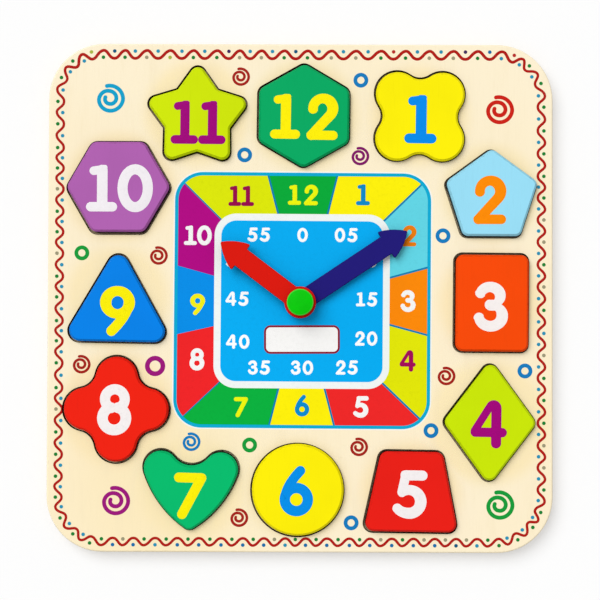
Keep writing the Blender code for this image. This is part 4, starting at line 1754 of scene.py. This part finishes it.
@dataclass
class DialPrint:
    """The printed dial: twelve coloured hours round a blue panel with the minutes, and a bare plate.

    Attributes:
        level: The height of the face.
        hub: The hub's axis on the face.
        layer: How much higher each ink lies than the one below it.
        minute_height: The height of the minute numbers.
        hole_radius: The radius of the hole for the hub.
        hole_depth: How deep the cutter of that hole is.
        hole_sides: How many sides it has.
        divider_reach: How far from the dial's middle the hours' fields begin.
    """

    level: float
    hub: Point
    layer: float = 0.02 * MM
    minute_height: float = 8.5 * MM
    hole_radius: float = 3.4 * MM
    hole_depth: float = 4 * MM
    hole_sides: int = 48
    divider_reach: float = 30 * MM

    def layer_top(self, number: int) -> float:
        """Gives the height of the top of an ink layer, counted from the first."""
        return self.level + number * self.layer

    def sheet(self, name: str, sheet: Sheet) -> None:
        """Prints one rounded sheet of the dial.

        Args:
            name: The piece's name.
            sheet: Its shape, layer and ink.
        """
        piece = sheet.plate.build(name, self.level - FACE_SINK, self.layer_top(sheet.layer), sheet.band)
        if sheet.band is None:
            hole = {"vertices": self.hole_sides, "radius": self.hole_radius, "depth": self.hole_depth}
            cutter = added(
                bpy.ops.mesh.primitive_cylinder_add, "hub_hole", location=(*self.hub, self.level), **hole
            )
            combine(piece, cutter, "DIFFERENCE")
        hand_over(piece, Ink(f"ink_{name}", sheet.colour).make(), "board")

    def sheets(self, sheets: dict[str, Sheet]) -> None:
        """Prints some of the dial's sheets, in order."""
        for name, sheet in sheets.items():
            self.sheet(f"dial_{name}", sheet)

    def hour_field(self, number: int) -> bpy.types.Object:
        """Cuts one hour's field out of a copy of the whole field.

        Args:
            number: Its place in SEGMENTS.

        Returns:
            The field.
        """
        here, following = SEGMENTS[number], SEGMENTS[(number + 1) % len(SEGMENTS)]
        name = f"dial_hour_{here.hour}"
        piece = HOURS_FIELD.build(name, self.level - FACE_SINK, self.layer_top(HOUR_LAYER))
        cuts = []
        for mark, side in ((here, 1), (following, -1)):
            inner, outer = Vector(mark.start_inner), Vector(mark.start_outer)
            along = (outer - inner).normalized()
            clockwise = Vector((along.y, -along.x))
            cuts.append((inner + clockwise * side * mark.gap / 2, clockwise * side))
        middle = Vector(HOURS_FIELD.centre)
        outwards = (Vector(here.centre) - middle).normalized()
        cuts.append((middle + outwards * self.divider_reach, outwards))
        with editing(piece):
            for place, kept in cuts:
                bpy.ops.mesh.select_all(action="SELECT")
                bpy.ops.mesh.bisect(
                    plane_co=(*place, self.level), plane_no=(*kept, 0), use_fill=True, clear_inner=True
                )
        return piece

    def hours(self, lettering: Lettering) -> None:
        """Prints the fields and the numbers of the hours.

        Args:
            lettering: What writes the numbers.
        """
        for number, segment in enumerate(SEGMENTS):
            hour = segment.hour
            hand_over(self.hour_field(number), Ink(f"ink_hour_{hour}", segment.ground).make(), "board")
            text = lettering.write(
                f"dial_number_{hour}", hour, segment.centre, segment.height, self.layer_top(HOUR_LAYER),
                INK_RISE, turn_deg=DIAL_TURN_DEG
            )
            hand_over(text, Ink(f"ink_number_{hour}", segment.ink).make(), "board")

    def minutes(self, lettering: Lettering) -> None:
        """Prints the minute numbers.

        Args:
            lettering: What writes the numbers.
        """
        ink = Ink("ink_minutes", (255, 255, 255), 0.97).make()
        for text, centre in MINUTE_PLACES.items():
            number = lettering.write(
                f"dial_minute_{text}", text, centre, self.minute_height, self.layer_top(PANEL_LAYER),
                INK_RISE, Weight.SMALL, DIAL_TURN_DEG
            )
            hand_over(number, ink, "board")

    def build(self, lettering: Lettering) -> None:
        """Prints the sheets, the hours and the minutes.

        Args:
            lettering: What writes the numbers.
        """
        self.sheets(LOWER_SHEETS)
        self.hours(lettering)
        self.sheets(UPPER_SHEETS)
        self.minutes(lettering)


@dataclass(frozen=True)
class BlockLook:
    """How one number block is painted.

    Attributes:
        shape: The last word of its node's name.
        slot: The name of the paint's slot, which is not used.
        paint: Its paint.
        ink: Its number's ink.
        centre: The middle of its number.
        height: The height of its number.
        lie: How far the block lies off the middle of its cut-out.
        turn_deg: How far the number is turned against the clock.
        sanded_share: How wide the block is left by the sanding of its sides.
    """

    shape: str
    slot: str
    paint: Colour
    ink: Colour
    centre: Point
    height: float
    lie: Point
    turn_deg: float = 0
    sanded_share: float = 0.99


BLOCK_LOOKS = {
    1: BlockLook(
        "lobed_square", "paint_yellow", (255, 241, 2), (1, 141, 238), at(70.6, 105.2), 29.4 * MM,
        at(0.14, -0.6), -0.7
    ),
    2: BlockLook(
        "pentagon", "paint_light_blue", (154, 223, 247), (255, 140, 0), at(111.3, 57.7), 28.5 * MM,
        at(0.47, 0.25)
    ),
    3: BlockLook(
        "rectangle", "paint_orange_red", (249, 74, 3), (250, 243, 240), at(111.9, -5.1), 29.4 * MM,
        at(0.34, -0.25), -0.4, 0.985
    ),
    4: BlockLook(
        "rhombus", "paint_yellow_green", (203, 232, 2), (162, 2, 122), at(110.9, -74.1), 28.2 * MM,
        at(0.26, 0.13), -0.7
    ),
    5: BlockLook(
        "trapezoid", "paint_red", (235, 30, 20), (246, 240, 240), at(64.7, -115.4), 28.4 * MM,
        at(0.3, 0.12), -0.8, 0.98
    ),
    6: BlockLook(
        "circle", "paint_yellow", (255, 240, 2), (1, 145, 236), at(-1.9, -113.5), 29.0 * MM,
        at(0.28, 0.41), 0, 0.996
    ),
    7: BlockLook(
        "heart", "paint_green", (1, 188, 109), (253, 240, 2), at(-64.3, -116.8), 27.2 * MM,
        at(-0.08, -0.34), -1.5, 0.985
    ),
    8: BlockLook(
        "clover", "paint_red", (241, 33, 14), (247, 241, 240), at(-108.8, -66.3), 29.2 * MM,
        at(0.2, 0.21), -0.6, 0.98
    ),
    9: BlockLook(
        "triangle", "paint_blue", (0, 131, 235), (252, 240, 2), at(-107.4, -8.4), 29.5 * MM,
        at(0.25, -0.17), -0.9, 0.98
    ),
    10: BlockLook(
        "hexagon", "paint_purple", (177, 98, 177), (244, 239, 243), at(-106.5, 63.9), 28.3 * MM,
        at(-0.06, 0.42), 0, 0.982
    ),
    11: BlockLook(
        "star", "paint_yellow_green", (209, 233, 1), (160, 1, 122), at(-60.4, 102.9), 26.3 * MM,
        at(0.27, -0.35), -0.4, 0.98
    ),
    12: BlockLook(
        "hexagon", "paint_green", (1, 169, 98), (255, 240, 2), at(2.0, 106.5), 27.2 * MM,
        at(0.28, -0.49), -0.6
    ),
}


GRAIN_TURN_DEG = 7


@dataclass
class Blocks:
    """The twelve painted blocks with their numbers.

    Attributes:
        board: The board, which knows how to finish a solid.
    """

    board: Board

    def sand(self, block: bpy.types.Object, node: str, look: BlockLook) -> None:
        """Sands a block's sides and lets it lie in its cut-out as it fell.

        Args:
            block: The block.
            node: The name of its solid.
            look: How far it is sanded and where it lies.
        """
        low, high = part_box(node)
        share = (look.sanded_share, look.sanded_share, 1)
        with editing(block):
            bpy.ops.transform.resize(value=share, center_override=(low + high) / 2, orient_type="GLOBAL")
            bpy.ops.transform.translate(value=(*look.lie, 0), orient_type="GLOBAL")

    def build(self, lettering: Lettering) -> None:
        """Paints the blocks and prints their numbers.

        Args:
            lettering: What writes the numbers.
        """
        for number, look in BLOCK_LOOKS.items():
            body, node = f"block_{number}", f"block_{number}_{look.shape}"
            block = self.board.planed_twin(node)
            self.sand(block, node, look)
            paint = PaintedWood(f"paint_block_{number}", look.paint, GRAIN_TURN_DEG * number)
            hand_over(block, paint.make(), body)
            text = lettering.write(
                f"block_{number}_number", str(number), look.centre, look.height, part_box(node)[1].z, INK_RISE,
                turn_deg=look.turn_deg
            )
            hand_over(text, Ink(f"ink_block_{number}", look.ink).make(), body)


@dataclass
class Hub:
    """The hands and what holds them.

    Attributes:
        board: The board, which knows how to finish a solid.
        shoulder_round: How round the cap's shoulder is.
        crown_rise: How much the cap's middle stands over its shoulder.
        crown_rings: How many steps its crown rises in.
        cap_sides: How many sides it has.
        shoulder_steps: How many steps its shoulder is rounded in.
        cap_smooth_deg: Its steepest edge that is still smoothed.
    """

    board: Board
    shoulder_round: float = 0.9 * MM
    crown_rise: float = 0.35 * MM
    crown_rings: int = 4
    cap_sides: int = 96
    shoulder_steps: int = 5
    cap_smooth_deg: float = 60

    def hands(self) -> None:
        """Paints the hands."""
        for node, slot, paint in (
            ("minute_hand", "paint_indigo", (32, 24, 118)), ("hour_hand", "paint_hand_red", (218, 22, 8))
        ):
            hand_over(self.board.smooth_twin(node), PaintedWood(slot, paint).make(), node)

    def cap(self) -> None:
        """Makes the cap, with a round shoulder and a low crown."""
        low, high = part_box("hub_cap")
        radius = (high.x - low.x) / 2
        shoulder = high.z - self.crown_rise
        cap = settle(added(
            bpy.ops.mesh.primitive_cylinder_add, "hub_cap_finished", vertices=self.cap_sides, radius=radius,
            depth=shoulder - low.z,
            location=((low.x + high.x) / 2, (low.y + high.y) / 2, (shoulder + low.z) / 2)
        ))
        level = shoulder - self.board.slack
        with editing(cap):
            select(cap, Part.EDGE, lambda edge: all(end.co.z > level for end in edge.verts))
            bpy.ops.mesh.bevel(offset=self.shoulder_round, segments=self.shoulder_steps, affect="EDGES")
            select(cap, Part.FACE, lambda face: face.normal.z > LEVEL_NORMAL)
            heights = [1 - (1 - ring / self.crown_rings) ** 2 for ring in range(self.crown_rings + 1)]
            for before, after in zip(heights, heights[1:]):
                bpy.ops.mesh.inset(thickness=(radius - self.shoulder_round) / (self.crown_rings + 0.5))
                bpy.ops.transform.translate(value=(0, 0, self.crown_rise * (after - before)))
        smooth(cap, self.cap_smooth_deg)
        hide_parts("hub_cap")
        # The lighter green is a painted highlight along the cap's edges.
        green = MouldedPlastic("cap_green", (6, 202, 8), (120, 226, 96))
        hand_over(cap, green.make(), "board")

    def fittings(self) -> None:
        """Plates the bolt and its washer, and moulds the washers between the hands."""
        # The paler nylon is a painted highlight along the washers' edges.
        nylon = MouldedPlastic("nylon", (232, 229, 220), (244, 243, 238), 0.42)
        for finish, nodes in (
            (ZincSteel("zinc_steel"), ("hub_bolt", "hub_washer_rear")),
            (nylon, ("hub_washer_lower", "hub_washer_middle", "hub_washer_upper"))
        ):
            material = finish.make()
            for node in nodes:
                hand_over(self.board.smooth_twin(node), material, "board")

    def build(self) -> None:
        """Finishes the hands, the cap, the bolt and the washers."""
        self.hands()
        self.cap()
        self.fittings()


@dataclass
class Studio:
    """The table, the light and the camera.

    Attributes:
        key_direction: The way that the main light travels.
        key_strength: Its strength.
        key_spread_deg: How wide it looks, which softens its shadows.
        sky_strength: The strength of the light from all round.
        table_size: The width of the table top.
        table_drop: How far it lies below the clock.
        camera_place: Where the camera stands.
        camera_turn_deg: How it is turned from looking straight down.
        camera_range: The nearest and the farthest that it sees.
        lens_mm: Its focal length.
        film_mm: The width of its film.
    """

    key_direction: Triple = (0.42, -0.47, -0.78)
    key_strength: float = 1.95
    key_spread_deg: float = 44
    sky_strength: float = 0.52
    table_size: float = 6.0
    table_drop: float = 0.2 * MM
    camera_place: Triple = (1.10 * MM, -22.11 * MM, 958.0 * MM)
    camera_turn_deg: Triple = (1.2450, 0.0685, 0.1911)
    camera_range: Point = (0.01, 20)
    lens_mm: float = 96.5
    film_mm: float = 36

    def table(self) -> None:
        """Lays the table top just below the clock."""
        place = (0, 0, -self.table_drop)
        top = added(bpy.ops.mesh.primitive_plane_add, "table_top", size=self.table_size, location=place)
        settle(top).data.materials.append(Ground().make())

    def light(self) -> None:
        """Sets the soft main light, and the even light round it that the camera sees as white."""
        sun = added(bpy.ops.object.light_add, "key_light", type="SUN")
        sun.rotation_euler = Vector(self.key_direction).to_track_quat("-Z", "Y").to_euler()
        sun.data.energy = self.key_strength
        sun.data.angle = math.radians(self.key_spread_deg)
        recipe = Recipe(bpy.data.worlds.new("even_light"))
        even, white = (
            recipe.add("ShaderNodeBackground", inputs={"Color": (1, 1, 1, 1), "Strength": strength})
            for strength in (self.sky_strength, 1.0)
        )
        mixed = recipe.add("ShaderNodeMixShader", inputs={0: recipe.seen(), 1: even, 2: white})
        bpy.context.scene.world = recipe.end(mixed, "ShaderNodeOutputWorld")

    def camera(self) -> None:
        """Stands the camera over the clock."""
        lens = bpy.data.cameras.new("camera")
        lens.lens = self.lens_mm
        lens.sensor_width = self.film_mm
        lens.clip_start, lens.clip_end = self.camera_range
        camera = bpy.data.objects.new("camera", lens)
        camera.location = self.camera_place
        camera.rotation_euler = Euler([math.radians(turn) for turn in self.camera_turn_deg])
        bpy.context.scene.collection.objects.link(camera)
        bpy.context.scene.camera = camera

    def build(self) -> None:
        """Sets up the studio."""
        bpy.context.scene.view_settings.view_transform = "Standard"
        self.table()
        self.light()
        self.camera()


def main() -> None:
    """Finishes the clock piece by piece."""
    logging.basicConfig(level=logging.INFO, format="%(message)s")
    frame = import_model()
    Studio().build()
    low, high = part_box("face_panel")
    face = Face((high.x - low.x) / 2, (high.y - low.y) / 2, high.z)
    hub_low, hub_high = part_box("hub_bolt")
    hub = ((hub_low.x + hub_high.x) / 2, (hub_low.y + hub_high.y) / 2)
    lettering = Lettering()
    board = Board(frame["nodes"], face)
    RimPrint(board.build(), face).build()
    Ornaments(face.level).build()
    DialPrint(face.level, hub).build(lettering)
    Blocks(board).build(lettering)
    Hub(board).build()
    lettering.clear()


if __name__ == "__main__":
    main()
